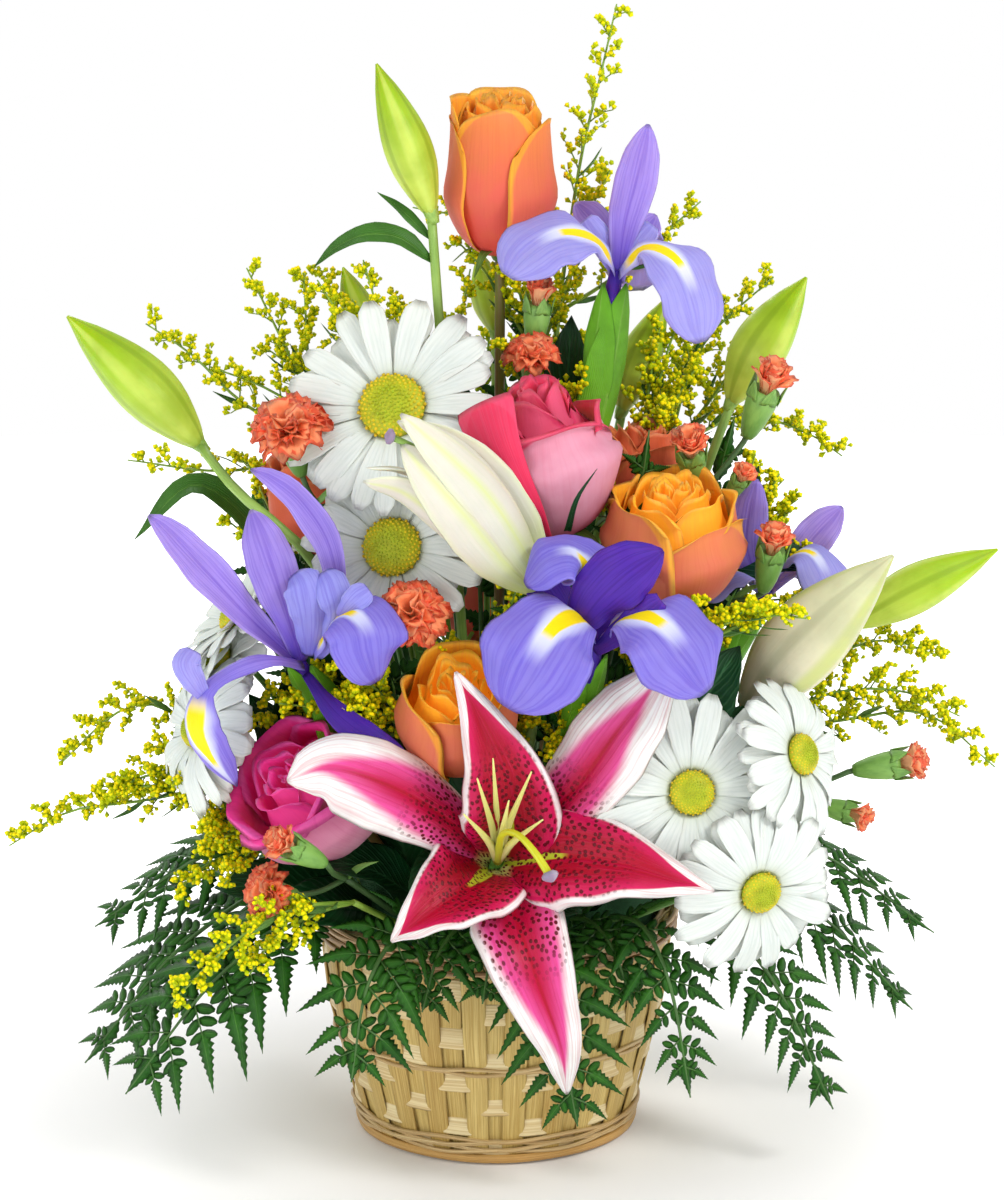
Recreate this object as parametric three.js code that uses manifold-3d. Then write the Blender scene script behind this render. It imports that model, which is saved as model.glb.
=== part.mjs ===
// A flower arrangement in a woven basket, in millimetres, +Z up.
// The origin is the centre of the basket's underside, and the front of the arrangement faces -Y.
// Every cut stem is one solid with the head or foliage that it carries, and stands in its own hole
// in the block of wet foam that fills the basket's plastic liner.
import * as THREE from "three";
import { mergeVertices } from "three/addons/utils/BufferGeometryUtils.js";
import Module from "manifold-3d";

const wasm = await Module();
wasm.setup();

// ---- driving dimensions -------------------------------------------------------------------------

const GAP = 0.4; // between pieces that touch
const BASKET_HEIGHT = 112;
const BASKET_SIDES = 24; // facets round the basket, shared by all its rings so that they nest
const WALL_THICK = 4; // splints and the strands woven through them
const WALL_PROFILE = [[0, 66.5], [36, 76], [65, 83], [84, 85.5], [112, 88]]; // [height, outer radius]
const BASE_THICK = 5;
const CANE_THICK = 2.4; // how far a hoop or band stands off the wall
const RIM_WIDTH = 12;
const MID_BAND = [47, 55]; // heights
const FOOT_BAND = [0.6, 14];
const LINER_THICK = 1.2;
const LINER_TOP = 98;
const FOAM_TOP = 134;
const FOAM_SHOULDER = 117; // where the block's trimmed edge starts
const FOAM_SIDES = 12;
const FOOT_HEIGHT = 98; // where the stems' cut ends stand, inside the foam
const FOOT_SPREAD = 44; // how far out the lowest-leaning stem stands
const FOOT_LEAN = 70; // degrees off vertical of that stem
const STEM_SIDES = 5;
const FERN_THICK = 1.8;

// ---- helpers ------------------------------------------------------------------------------------

const vector = (p) => new THREE.Vector3(...p);
const UP_Y = new THREE.Vector3(0, 1, 0);

// A closed geometry as a manifold-3d solid.
function solidOf(geometry) {
  const bare = geometry.clone();
  bare.deleteAttribute("normal");
  bare.deleteAttribute("uv");
  const merged = mergeVertices(bare, 1e-3);
  return new wasm.Manifold(
    new wasm.Mesh({
      numProp: 3,
      vertProperties: merged.attributes.position.array,
      triVerts: new Uint32Array(merged.index.array),
    }),
  );
}

function geometryOf(solid) {
  const mesh = solid.getMesh();
  const geometry = new THREE.BufferGeometry();
  geometry.setAttribute("position", new THREE.BufferAttribute(mesh.vertProperties, 3));
  geometry.setIndex(new THREE.BufferAttribute(mesh.triVerts, 1));
  return geometry;
}

// Several overlapping closed geometries as one.
function joined(geometries) {
  return geometryOf(geometries.map(solidOf).reduce((whole, piece) => whole.add(piece)));
}

// A turned solid: the profile is [radius, height] pairs from the bottom, round the outside, to the top.
function turned(profile, sides) {
  return new THREE.LatheGeometry(profile.map((p) => new THREE.Vector2(...p)), sides);
}

// The same with its axis along +Z, as the basket's pieces stand.
const turnedUpright = (profile, sides) => turned(profile, sides).rotateX(Math.PI / 2);

// A geometry made along +Y, turned to point along a direction and moved to a place.
function aimed(geometry, direction, place) {
  const turn = new THREE.Quaternion().setFromUnitVectors(UP_Y, vector(direction).normalize());
  return geometry.applyQuaternion(turn).translate(...place);
}

// A smooth line through two or more places.
function lineThrough(places) {
  const points = places.map(vector);
  if (points.length === 2) return new THREE.LineCurve3(...points);
  if (points.length === 3) return new THREE.QuadraticBezierCurve3(...points);
  return new THREE.CatmullRomCurve3(points);
}

// The frame of a flat thing that runs along a curve and faces a direction.
function frameAt(curve, share, face) {
  const along = curve.getTangent(share);
  const across = face.clone().cross(along).normalize();
  const out = along.clone().cross(across);
  return { centre: curve.getPoint(share), along, across, out };
}

// A petal, leaf, bud or plume: a closed lens along a curve. The middle of three places pulls the
// curve, and a belly above 1 puts the widest part nearer the start.
function blade({ places, width, thick = 2.4, face = [0, -1, 0.2], belly = 1, sides = 4, rings = 5 }) {
  const curve = lineThrough(places);
  const lens = new THREE.SphereGeometry(1, sides, rings);
  const points = lens.attributes.position;
  for (let i = 0; i < points.count; i += 1) {
    const share = Math.min(1, ((1 - points.getY(i)) / 2) ** belly);
    const { centre, across, out } = frameAt(curve, share, vector(face));
    centre.addScaledVector(across, (points.getX(i) * width) / 2);
    centre.addScaledVector(out, (points.getZ(i) * thick) / 2);
    points.setXYZ(i, ...centre);
  }
  return lens;
}

const spindle = (places, width, sides = 5, rings = 5) =>
  blade({ places, width, thick: width, sides, rings });

// ---- stems --------------------------------------------------------------------------------------

const stemHoles = []; // what the foam gives way to

// Where a stem's cut end stands: on the side its head leans to, further out the more it leans.
function footOf(place) {
  const reach = Math.hypot(place[0], place[1]);
  const lean = THREE.MathUtils.radToDeg(Math.atan2(reach, place[2] - FOOT_HEIGHT));
  const share = (FOOT_SPREAD * (lean / FOOT_LEAN) ** 0.7) / Math.max(reach, 1);
  return [place[0] * share, place[1] * share, FOOT_HEIGHT];
}

function rod(from, to, radius) {
  const section = new THREE.Shape();
  for (let i = 0; i < STEM_SIDES; i += 1) {
    const angle = (i * 2 * Math.PI) / STEM_SIDES;
    const spot = [radius * Math.cos(angle), radius * Math.sin(angle)];
    if (i) section.lineTo(...spot);
    else section.moveTo(...spot);
  }
  const extrudePath = new THREE.LineCurve3(vector(from), vector(to));
  return new THREE.ExtrudeGeometry(section, { steps: 1, extrudePath });
}

// A straight stem from its cut end in the foam to the place where the head starts. A foot, where one
// is given, is the cut end's own place across the block.
function stemTo(head, radius, foot) {
  const cut = foot ? [...foot, FOOT_HEIGHT] : footOf(head);
  const start = vector(cut);
  const below = start.clone().sub(vector(head)).setLength(GAP).add(start);
  stemHoles.push(rod(below.toArray(), head, radius + GAP));
  return rod(cut, head, radius);
}

// ---- heads, each made along +Y from its own base ------------------------------------------------

// Shares of the bloom's radius and height.
const ROSE_PROFILE = [
  [0, -0.03], [0.14, -0.03], [0.74, 0.22], [1, 0.5], [0.94, 0.8], [0.7, 1], [0.4, 0.94], [0, 0.9],
];
const roseHead = (radius, height) =>
  turned(ROSE_PROFILE.map(([r, h]) => [r * radius, h * height]), 9);

const CARNATION_PROFILE = [[0, -1], [3, -1], [5, 16], [13, 24], [12, 33], [0, 35]];
const carnationHead = (scale) =>
  turned(CARNATION_PROFILE.map(([r, h]) => [r * scale, h * scale]), 7);

const DAISY_RAYS = 12;
const DAISY_THICK = 2.4;
const DAISY_EYE = [[0, -5], [7, -2], [9.5, 1], [7.5, 5], [0, 6.6]];

// A ring of white rays round a yellow eye, its face towards +Y.
function daisyHead(radius) {
  const outline = new THREE.Shape();
  for (let i = 0; i < DAISY_RAYS * 2; i += 1) {
    const angle = (i * Math.PI) / DAISY_RAYS;
    const reach = i % 2 ? radius * 0.78 : radius;
    const spot = [reach * Math.cos(angle), reach * Math.sin(angle)];
    if (i) outline.lineTo(...spot);
    else outline.moveTo(...spot);
  }
  const rays = new THREE.ExtrudeGeometry(outline, { depth: DAISY_THICK, bevelEnabled: false });
  rays.rotateX(-Math.PI / 2).translate(0, -DAISY_THICK / 2, 0);
  return joined([rays, turned(DAISY_EYE, 7)]);
}

// ---- the kinds of plant -------------------------------------------------------------------------

const group = new THREE.Group();

function add(name, geometry, color, roughness = 0.6) {
  const material = new THREE.MeshStandardMaterial({ color, roughness, metalness: 0 });
  const mesh = new THREE.Mesh(geometry, material);
  mesh.name = name;
  group.add(mesh);
}

function addRose({ name, base, face, radius, height, color, foot }) {
  add(name, joined([stemTo(base, 2.6, foot), aimed(roseHead(radius, height), face, base)]), color);
}

function addDaisy({ name, eye, face, radius, foot }) {
  const back = vector(eye).addScaledVector(vector(face).normalize(), -4).toArray();
  add(name, joined([stemTo(back, 1.8, foot), aimed(daisyHead(radius), face, eye)]), 0xf6f6f2);
}

// A spray: side stems leave the main stem at its fork, one to each bloom.
function addCarnations({ name, fork, blooms, foot }) {
  const heads = blooms.flatMap(({ base, face, scale = 1 }) => [
    rod(fork, base, 1.5),
    aimed(carnationHead(scale), face, base),
  ]);
  add(name, joined([stemTo(fork, 1.9, foot), ...heads]), 0xee5a3c);
}

function addIris({ name, throat, petals, foot }) {
  const blades = petals.map(({ by, tip, width, face }) =>
    blade({ places: [throat, by, tip], width, thick: 3, face, belly: 0.8 }),
  );
  const below = [throat[0] * 0.96, throat[1] * 0.96, throat[2] - 34];
  const spathe = spindle([below, [throat[0], throat[1], throat[2] + 8]], 15);
  add(name, joined([stemTo(throat, 3, foot), spathe, ...blades]), 0x6a5ad6);
}

function addBud({ name, base, tip, width, leaves = [], color = 0x9cc24a, foot }) {
  const bulge = spindle([base, tip], width, 7, 6);
  const extra = leaves.map((leaf) => blade({ thick: 1.6, ...leaf }));
  const knuckle = new THREE.SphereGeometry(4.4, 5, 3).translate(...base);
  add(name, joined([stemTo(base, 2.8, foot), knuckle, bulge, ...extra]), color);
}

function addLily({ name, throat, heart, petals, width, color, foot }) {
  const cup = spindle([throat, heart], width, 7, 5);
  const blades = petals.map((petal) => blade({ places: [throat, petal.by, petal.tip], ...petal }));
  const knuckle = new THREE.SphereGeometry(5, 6, 4).translate(...throat);
  add(name, joined([stemTo(throat, 3.2, foot), knuckle, cup, ...blades]), color);
}

// A branched stem whose tips are feathery plumes, each given as the places that its curve follows.
function addGoldenrod({ name, fork, plumes, foot }) {
  const parts = plumes.map(({ places, width = 11 }) => spindle([fork, ...places], width));
  const knot = new THREE.SphereGeometry(3, 5, 3).translate(...fork);
  add(name, joined([stemTo(fork, 1.7, foot), knot, ...parts]), 0xe3cf1c);
}

// A frond: a bare stalk, then pairs of toothed side leaves that shorten towards the tip.
function addFern({ name, places, width, pairs = 8, stalk = 0.34 }) {
  const curve = new THREE.CatmullRomCurve3(places.map(vector));
  const length = curve.getLength();
  const edge = [[0, 1.6], [stalk, 1.6]];
  for (let i = 0; i < pairs; i += 1) {
    const start = stalk + ((1 - stalk) * i) / pairs;
    const step = (1 - stalk) / pairs;
    const reach = (width / 2) * Math.sin(Math.PI * (0.35 + (0.6 * i) / pairs));
    edge.push([start + step * 0.9, reach], [start + step, 2]);
  }
  const outline = new THREE.Shape();
  const side = (sign) => edge.map(([share, out]) => new THREE.Vector2(share * length, sign * out));
  outline.setFromPoints([...side(-1), new THREE.Vector2(length, 0), ...side(1).reverse()]);
  const frond = new THREE.ExtrudeGeometry(outline, { depth: FERN_THICK, bevelEnabled: false });
  const points = frond.attributes.position;
  const face = new THREE.Vector3(0, 0, 1);
  for (let i = 0; i < points.count; i += 1) {
    const { centre, across, out } = frameAt(curve, points.getX(i) / length, face);
    centre.addScaledVector(across, points.getY(i));
    centre.addScaledVector(out, points.getZ(i) - FERN_THICK / 2);
    points.setXYZ(i, ...centre);
  }
  const [inner, outer] = places;
  const back = vector(inner).sub(vector(outer)).setLength(1).add(vector(inner));
  stemHoles.push(rod(back.toArray(), outer, 1.6 + FERN_THICK / 2 + GAP));
  add(name, frond, 0x1f5a2c, 0.4);
}

// ---- the basket ---------------------------------------------------------------------------------

// The wall's outer radius at a height.
function wallRadius(height) {
  const above = Math.max(1, WALL_PROFILE.findIndex(([level]) => level >= height));
  const [lowLevel, lowRadius] = WALL_PROFILE[above - 1];
  const [highLevel, highRadius] = WALL_PROFILE[above];
  return THREE.MathUtils.mapLinear(height, lowLevel, highLevel, lowRadius, highRadius);
}

// A ring that follows the wall's flare between some heights, from one offset off the wall's outer
// face to another.
function flaredRing(heights, innerOffset, outerOffset) {
  const outside = heights.map((height) => [wallRadius(height) + outerOffset, height]);
  const inside = heights.map((height) => [wallRadius(height) + innerOffset, height]).reverse();
  return turnedUpright([...outside, ...inside, outside[0]], BASKET_SIDES);
}

const levels = WALL_PROFILE.map(([level]) => level);
const wallTop = BASKET_HEIGHT - 1;
const rimBottom = BASKET_HEIGHT - RIM_WIDTH;
const WOOD = 0xc9a86a;
const CANE = 0xdcc48a;

const baseRadius = wallRadius(FOOT_BAND[0]) - WALL_THICK - GAP;
const baseProfile = [[0, 0], [baseRadius, 0], [baseRadius, BASE_THICK], [0, BASE_THICK]];
add("basket_base", turnedUpright(baseProfile, BASKET_SIDES), WOOD);
add("basket_wall", flaredRing([FOOT_BAND[0], ...levels.slice(1, -1), wallTop], -WALL_THICK, 0), WOOD);
add("rim_outer_hoop", flaredRing([rimBottom, BASKET_HEIGHT], GAP, GAP + CANE_THICK), CANE);
add(
  "rim_inner_hoop",
  flaredRing([rimBottom, BASKET_HEIGHT], -WALL_THICK - GAP - CANE_THICK, -WALL_THICK - GAP),
  CANE,
);
add("mid_band", flaredRing(MID_BAND, GAP, GAP + CANE_THICK), CANE);
add("foot_band", flaredRing(FOOT_BAND, GAP, GAP + CANE_THICK), CANE);

// The liner is an open pot: up the outside, over its edge, and down the inside.
const linerFloor = BASE_THICK + GAP;
const linerOut = -WALL_THICK - GAP;
const linerIn = linerOut - LINER_THICK;
const linerLevels = [linerFloor, ...levels.slice(1, 4), LINER_TOP];
const innerLevels = [linerFloor + LINER_THICK, ...linerLevels.slice(1)].reverse();
const linerProfile = [
  [0, linerFloor],
  ...linerLevels.map((height) => [wallRadius(height) + linerOut, height]),
  ...innerLevels.map((height) => [wallRadius(height) + linerIn, height]),
  [0, linerFloor + LINER_THICK],
];
add("liner", turnedUpright(linerProfile, BASKET_SIDES), 0x2c3b2a, 0.35);

// ---- lilies -------------------------------------------------------------------------------------

addLily({
  name: "lily_open",
  throat: [0, -84, 160],
  heart: [2, -118, 166],
  width: 26,
  color: 0xd7306e,
  petals: [
    { by: [-2, -128, 200], tip: [-16, -126, 254], width: 40, face: [0, -1, 0], belly: 0.9 },
    { by: [42, -124, 208], tip: [76, -122, 254], width: 27, face: [0, -1, 0.3] },
    { by: [50, -130, 180], tip: [94, -138, 158], width: 34, face: [0, -1, 0.4] },
    { by: [14, -158, 128], tip: [31, -136, 60], width: 40, face: [0, -1, 0.2], belly: 0.9 },
    { by: [-26, -140, 160], tip: [-43, -152, 141], width: 30, face: [0, -1, 0.4] },
    { by: [-50, -128, 196], tip: [-91, -134, 212], width: 32, face: [0, -1, 0.5] },
  ],
});
addLily({
  name: "lily_white",
  throat: [21, -76, 280],
  heart: [-31, -114, 354],
  width: 28,
  color: 0xeeeedd,
  petals: [
    { by: [-6, -104, 330], tip: [-43, -118, 372], width: 14, face: [0, -1, 0.3] },
    { by: [-18, -106, 318], tip: [-56, -112, 342], width: 12, face: [0, -1, 0.3] },
  ],
});
addBud({
  name: "lily_bud_top_left",
  base: [-30, -24, 452],
  tip: [-55, -22, 520],
  width: 22,
  leaves: [{ places: [[-28, -22, 422], [-50, -22, 452], [-76, -20, 434]], width: 14, face: [0, 0, 1] }],
});
addBud({
  name: "lily_bud_left",
  base: [-141, -15, 342],
  tip: [-202, -15, 402],
  width: 27,
  leaves: [{ places: [[-106, -13, 286], [-140, -18, 332], [-174, -22, 296]], width: 15, face: [0, 0, 1] }],
});
addBud({ name: "lily_bud_upper_right", base: [114, 14, 358], tip: [149, 15, 417], width: 26 });
addBud({
  name: "lily_bud_far_right",
  base: [172, -14, 254],
  tip: [240, -10, 290],
  width: 22,
  foot: [33, -7],
});
addBud({
  name: "lily_bud_right",
  base: [118, -52, 222],
  tip: [182, -66, 297],
  width: 37,
  color: 0xe6e2bc,
});
addBud({ name: "lily_bud_back_right", base: [62, 38, 350], tip: [82, 40, 404], width: 20 });
addBud({ name: "lily_bud_back_left", base: [-60, 26, 380], tip: [-74, 32, 420], width: 16 });
addBud({ name: "lily_bud_back_centre", base: [0, 26, 390], tip: [-8, 32, 428], width: 16 });

// ---- roses --------------------------------------------------------------------------------------

const CORAL = 0xee7545;
const ROSES = [
  { name: "rose_top", base: [2, -2, 429], face: [0, -0.1, 1], radius: 26, height: 76, color: CORAL },
  {
    name: "rose_pink",
    base: [24, -44, 314],
    face: [-0.12, -0.42, 1],
    radius: 36,
    height: 74,
    color: 0xe0567e,
  },
  {
    name: "rose_right",
    base: [76, -44, 286],
    face: [0.3, -0.75, 0.7],
    radius: 32,
    height: 56,
    color: 0xf08a4a,
  },
  {
    name: "rose_front",
    base: [-18, -70, 214],
    face: [-0.02, -0.75, 0.65],
    radius: 28,
    height: 54,
    color: 0xf2954a,
  },
  {
    name: "rose_magenta",
    base: [-64, -62, 168],
    face: [-0.5, -0.75, 0.45],
    radius: 33,
    height: 60,
    color: 0xcf2f86,
  },
  { name: "rose_left", base: [-74, 14, 288], face: [-0.5, -0.3, 1], radius: 25, height: 54, color: CORAL },
  { name: "rose_back_right", base: [60, 4, 306], face: [0.2, -0.2, 1], radius: 23, height: 44, color: CORAL },
  { name: "rose_rear", base: [-4, 70, 226], face: [0, 0.8, 0.7], radius: 31, height: 60, color: CORAL },
];
ROSES.forEach(addRose);

// ---- irises -------------------------------------------------------------------------------------

const FORWARD = [0, -1, 0.3];
const UPWARD = [0, 0, 1]; // for a petal that arches over and hangs
addIris({
  name: "iris_top",
  throat: [56, -26, 424],
  petals: [
    { by: [36, -46, 462], tip: [8, -52, 448], width: 32, face: [0, -0.3, 1] },
    { by: [76, -48, 446], tip: [82, -62, 414], width: 34, face: UPWARD },
    { by: [66, -20, 462], tip: [70, -18, 492], width: 20, face: FORWARD },
  ],
});
addIris({
  name: "iris_front",
  throat: [46, -96, 262],
  petals: [
    { by: [28, -124, 284], tip: [14, -138, 243], width: 44, face: UPWARD },
    { by: [76, -124, 286], tip: [92, -136, 256], width: 44, face: UPWARD },
    { by: [26, -108, 296], tip: [14, -104, 304], width: 22, face: [0, -0.4, 1] },
    { by: [52, -116, 300], tip: [74, -114, 310], width: 34, face: [0, -1, 0.6] },
  ],
});
addIris({
  name: "iris_left",
  throat: [-93, -71, 251],
  petals: [
    { by: [-116, -86, 278], tip: [-158, -88, 320], width: 20, face: FORWARD },
    { by: [-104, -86, 290], tip: [-106, -84, 320], width: 24, face: FORWARD },
    { by: [-70, -100, 290], tip: [-56, -118, 250], width: 30, face: UPWARD },
    { by: [-140, -100, 252], tip: [-120, -108, 200], width: 24, face: [-0.8, -0.3, 0.6] },
    { by: [-62, -92, 238], tip: [-50, -88, 222], width: 16, face: FORWARD },
  ],
});
addIris({
  name: "iris_right",
  throat: [130, -4, 268],
  foot: [31, 2],
  petals: [
    { by: [118, -26, 300], tip: [122, -30, 326], width: 18, face: FORWARD },
    { by: [154, -4, 280], tip: [166, 0, 308], width: 16, face: FORWARD },
    { by: [150, -26, 290], tip: [160, -36, 262], width: 24, face: UPWARD },
  ],
});

// ---- daisies ------------------------------------------------------------------------------------

const DAISIES = [
  { name: "daisy_upper", eye: [-50, -52, 367], face: [-0.3, -0.85, 0.4], radius: 40 },
  { name: "daisy_middle", eye: [-47, -70, 303], face: [-0.2, -0.95, 0.2], radius: 33 },
  { name: "daisy_right", eye: [90, -108, 197], face: [0.1, -0.95, 0.2], radius: 34 },
  { name: "daisy_right_edge", eye: [142, -92, 208], face: [0.75, -0.6, 0.2], radius: 28 },
  { name: "daisy_lower_right", eye: [122, -116, 150], face: [0.35, -0.9, -0.15], radius: 30 },
  { name: "daisy_left", eye: [-134, -44, 272], face: [-0.55, -0.35, 0.75], radius: 34 },
  { name: "daisy_lower_left", eye: [-150, -60, 212], face: [-0.8, -0.55, 0.1], radius: 36 },
  { name: "daisy_rear_left", eye: [-70, 84, 280], face: [-0.4, 0.8, 0.4], radius: 38 },
  { name: "daisy_rear_right", eye: [84, 90, 220], face: [0.4, 0.85, 0.3], radius: 38 },
];
DAISIES.forEach(addDaisy);

// ---- small spray carnations ---------------------------------------------------------------------

addCarnations({
  name: "carnations_top",
  fork: [16, 8, 350],
  foot: [8, 2],
  blooms: [
    { base: [20, -22, 378], face: [0, -0.3, 1], scale: 0.7 },
    { base: [26, 2, 372], face: [0.2, 0.1, 1], scale: 0.8 },
  ],
});
addCarnations({
  name: "carnations_left",
  fork: [-84, -40, 318],
  blooms: [{ base: [-90, -46, 332], face: [-0.35, -0.6, 0.8], scale: 1.2 }],
});
addCarnations({
  name: "carnations_centre",
  fork: [-22, -46, 240],
  foot: [-6, -18],
  blooms: [{ base: [-36, -80, 264], face: [-0.2, -0.7, 0.7], scale: 1.1 }],
});
addCarnations({
  name: "carnations_upper_right",
  fork: [92, -14, 312],
  foot: [20, -6],
  blooms: [
    { base: [112, -6, 344], face: [0.35, -0.3, 1], scale: 1.1 },
    { base: [96, -24, 324], face: [0, -0.6, 0.9], scale: 0.8 },
  ],
});
addCarnations({
  name: "carnations_right",
  fork: [112, -36, 270],
  blooms: [{ base: [122, -46, 282], face: [0.35, -0.5, 0.9], scale: 0.85 }],
});
addCarnations({
  name: "carnations_lower_left",
  fork: [-70, -84, 148],
  blooms: [
    { base: [-62, -136, 176], face: [-0.9, -0.6, 0.55], scale: 0.9 },
    { base: [-82, -104, 150], face: [-0.5, -0.8, 0.4], scale: 0.9 },
  ],
});
addCarnations({
  name: "carnations_far_right",
  fork: [136, -30, 176],
  blooms: [
    { base: [172, -38, 188], face: [1, -0.3, 0.25], scale: 0.95 },
    { base: [154, -34, 170], face: [0.8, -0.3, -0.2], scale: 0.7 },
  ],
});

// ---- goldenrod ----------------------------------------------------------------------------------

addGoldenrod({
  name: "goldenrod_top",
  fork: [30, 22, 400],
  plumes: [
    { places: [[40, 22, 470], [56, 14, 545]], width: 16 },
    { places: [[60, 20, 400], [98, 18, 452]], width: 12 },
    { places: [[0, 24, 440], [-40, 30, 446]], width: 12 },
  ],
});
addGoldenrod({
  name: "goldenrod_upper_right",
  fork: [84, 36, 330],
  plumes: [
    { places: [[100, 40, 380], [134, 26, 416]], width: 12 },
    { places: [[120, 50, 340], [166, 34, 326]], width: 13 },
    { places: [[90, 50, 360], [98, 48, 410]], width: 12 },
  ],
});
addGoldenrod({
  name: "goldenrod_right",
  fork: [120, 24, 190],
  plumes: [
    { places: [[170, 20, 230], [216, 8, 232]], width: 14 },
    { places: [[180, 12, 190], [242, -10, 180]], width: 12 },
  ],
});
addGoldenrod({
  name: "goldenrod_upper_left",
  fork: [-80, 42, 330],
  plumes: [
    { places: [[-100, 20, 380], [-116, 10, 420]], width: 13 },
    { places: [[-120, 22, 350], [-162, 12, 390]], width: 12 },
    { places: [[-130, 26, 320], [-174, 10, 330]], width: 11 },
  ],
});
addGoldenrod({
  name: "goldenrod_left",
  fork: [-118, -8, 176],
  plumes: [
    { places: [[-180, 0, 210], [-206, -14, 190]], width: 13 },
    { places: [[-170, -20, 160], [-234, -30, 148]], width: 14 },
  ],
});
addGoldenrod({
  name: "goldenrod_front_left",
  fork: [-66, -96, 140],
  plumes: [{ places: [[-106, -134, 140], [-146, -140, 104]], width: 14 }],
});
addGoldenrod({
  name: "goldenrod_rear",
  fork: [10, 60, 300],
  plumes: [
    { places: [[20, 70, 350], [20, 76, 390]], width: 14 },
    { places: [[50, 90, 300], [76, 116, 300]], width: 13 },
    { places: [[-30, 90, 310], [-50, 116, 330]], width: 13 },
  ],
});

// ---- leaves and fern fronds ---------------------------------------------------------------------

// A broad leaf on a short stalk, low on the right.
const salalBase = [80, -56, 178];
const salalFoot = [28, -22];
add(
  "salal_leaf",
  joined([
    stemTo(salalBase, 1.5, salalFoot),
    blade({ places: [[79, -55, 174], [84, -84, 214], [112, -76, 256]], width: 40, thick: 2 }),
  ]),
  0x1c4a24,
);

const FERNS = [
  { name: "fern_left", places: [[-46, -10, 108], [-90, -26, 134], [-150, -52, 104], [-192, -66, 56]] },
  { name: "fern_front_left", places: [[-22, -50, 108], [-40, -92, 132], [-64, -128, 106], [-70, -140, 70]] },
  { name: "fern_front", places: [[18, -50, 102], [30, -88, 128], [52, -116, 98], [60, -124, 44]] },
  { name: "fern_right", places: [[52, -28, 104], [94, -44, 130], [134, -62, 98], [158, -74, 38]] },
  { name: "fern_far_right", places: [[56, 6, 104], [98, 10, 132], [160, 12, 110], [204, 8, 66]] },
  { name: "fern_rear", places: [[0, 56, 104], [0, 96, 134], [-10, 140, 116], [-20, 166, 70]] },
];
FERNS.forEach((fern) => addFern({ width: 46, ...fern }));

// ---- the foam, cut last because every stem makes its own hole -----------------------------------

const foamFloor = linerFloor + LINER_THICK + GAP;
const foamOff = linerIn - GAP - 1.6; // the facets of the two rings differ, so this clears them
const foamProfile = [
  [0, foamFloor],
  [wallRadius(foamFloor) + foamOff, foamFloor],
  [wallRadius(levels[1]) + foamOff, levels[1]],
  [wallRadius(LINER_TOP) + foamOff, LINER_TOP],
  [wallRadius(LINER_TOP) + foamOff - 2, FOAM_SHOULDER],
  [FOOT_SPREAD + 10, FOAM_TOP],
  [0, FOAM_TOP],
];
const foam = stemHoles.map(solidOf).reduce(
  (block, hole) => block.subtract(hole),
  solidOf(turnedUpright(foamProfile, FOAM_SIDES)),
);
add("foam_block", geometryOf(foam), 0x2f5b35, 0.95);

export default group;
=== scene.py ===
"""A flower arrangement in a woven basket: the finish and fine shape of every piece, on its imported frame.

Lengths are in millimetres, +Z is up, and the front of the arrangement faces -Y.
"""

import math

import bpy
import numpy as np
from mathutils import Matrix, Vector


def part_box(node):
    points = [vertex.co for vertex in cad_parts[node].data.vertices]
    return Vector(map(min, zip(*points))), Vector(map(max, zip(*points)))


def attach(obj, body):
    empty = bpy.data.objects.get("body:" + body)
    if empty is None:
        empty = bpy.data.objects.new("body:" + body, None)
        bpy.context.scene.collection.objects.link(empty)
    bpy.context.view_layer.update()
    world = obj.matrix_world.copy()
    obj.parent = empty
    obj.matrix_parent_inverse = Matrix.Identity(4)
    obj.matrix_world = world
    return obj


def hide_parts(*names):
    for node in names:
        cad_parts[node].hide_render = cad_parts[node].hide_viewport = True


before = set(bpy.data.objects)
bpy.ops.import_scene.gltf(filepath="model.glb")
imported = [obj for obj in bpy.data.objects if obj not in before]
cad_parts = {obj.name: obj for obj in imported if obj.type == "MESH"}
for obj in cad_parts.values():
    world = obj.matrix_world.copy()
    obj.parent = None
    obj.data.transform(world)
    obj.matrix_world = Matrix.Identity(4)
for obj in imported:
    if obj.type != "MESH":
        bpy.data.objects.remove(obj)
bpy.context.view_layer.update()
MM = 0.001


# ---- Studio -------------------------------------------------------------------------------------
# A white floor under an even white sky, with one large lamp high on the right that throws a soft
# shadow to the left, a broad fill in front, and a lamp behind for the edges of the petals.

CAMERA_TARGET = (3, 0, 263)
CAMERA_DISTANCE = 1600
CAMERA_ELEVATION = math.radians(12)
CAMERA_LENS = 99.03  # on a sensor whose long side is 36
FLOOR_RADIUS = 2200
SKY_LIGHT = 0.68  # the strength that lights the arrangement; the sky itself is seen at 1


def aim(thing, place, target):
    """Puts a lamp or camera at a place and turns it to look at a target."""
    thing.location = Vector(place) * MM
    look = Vector(target) - Vector(place)
    thing.rotation_euler = look.to_track_quat("-Z", "Y").to_euler()
    bpy.context.scene.collection.objects.link(thing)


def add_lamp(name, place, target, size, power, colour=(1, 1, 1)):
    """A square soft box."""
    light = bpy.data.lights.new(name, "AREA")
    light.size = size * MM
    light.energy = power
    light.color = colour
    aim(bpy.data.objects.new(name, light), place, target)


lens = bpy.data.cameras.new("camera")
lens.lens = CAMERA_LENS
lens.sensor_width = 36
lens.clip_end = 200
camera = bpy.data.objects.new("camera", lens)
camera_place = (
    CAMERA_TARGET[0],
    CAMERA_TARGET[1] - CAMERA_DISTANCE * math.cos(CAMERA_ELEVATION),
    CAMERA_TARGET[2] + CAMERA_DISTANCE * math.sin(CAMERA_ELEVATION),
)
aim(camera, camera_place, CAMERA_TARGET)
bpy.context.scene.camera = camera
bpy.context.scene.view_settings.view_transform = "Standard"

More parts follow.
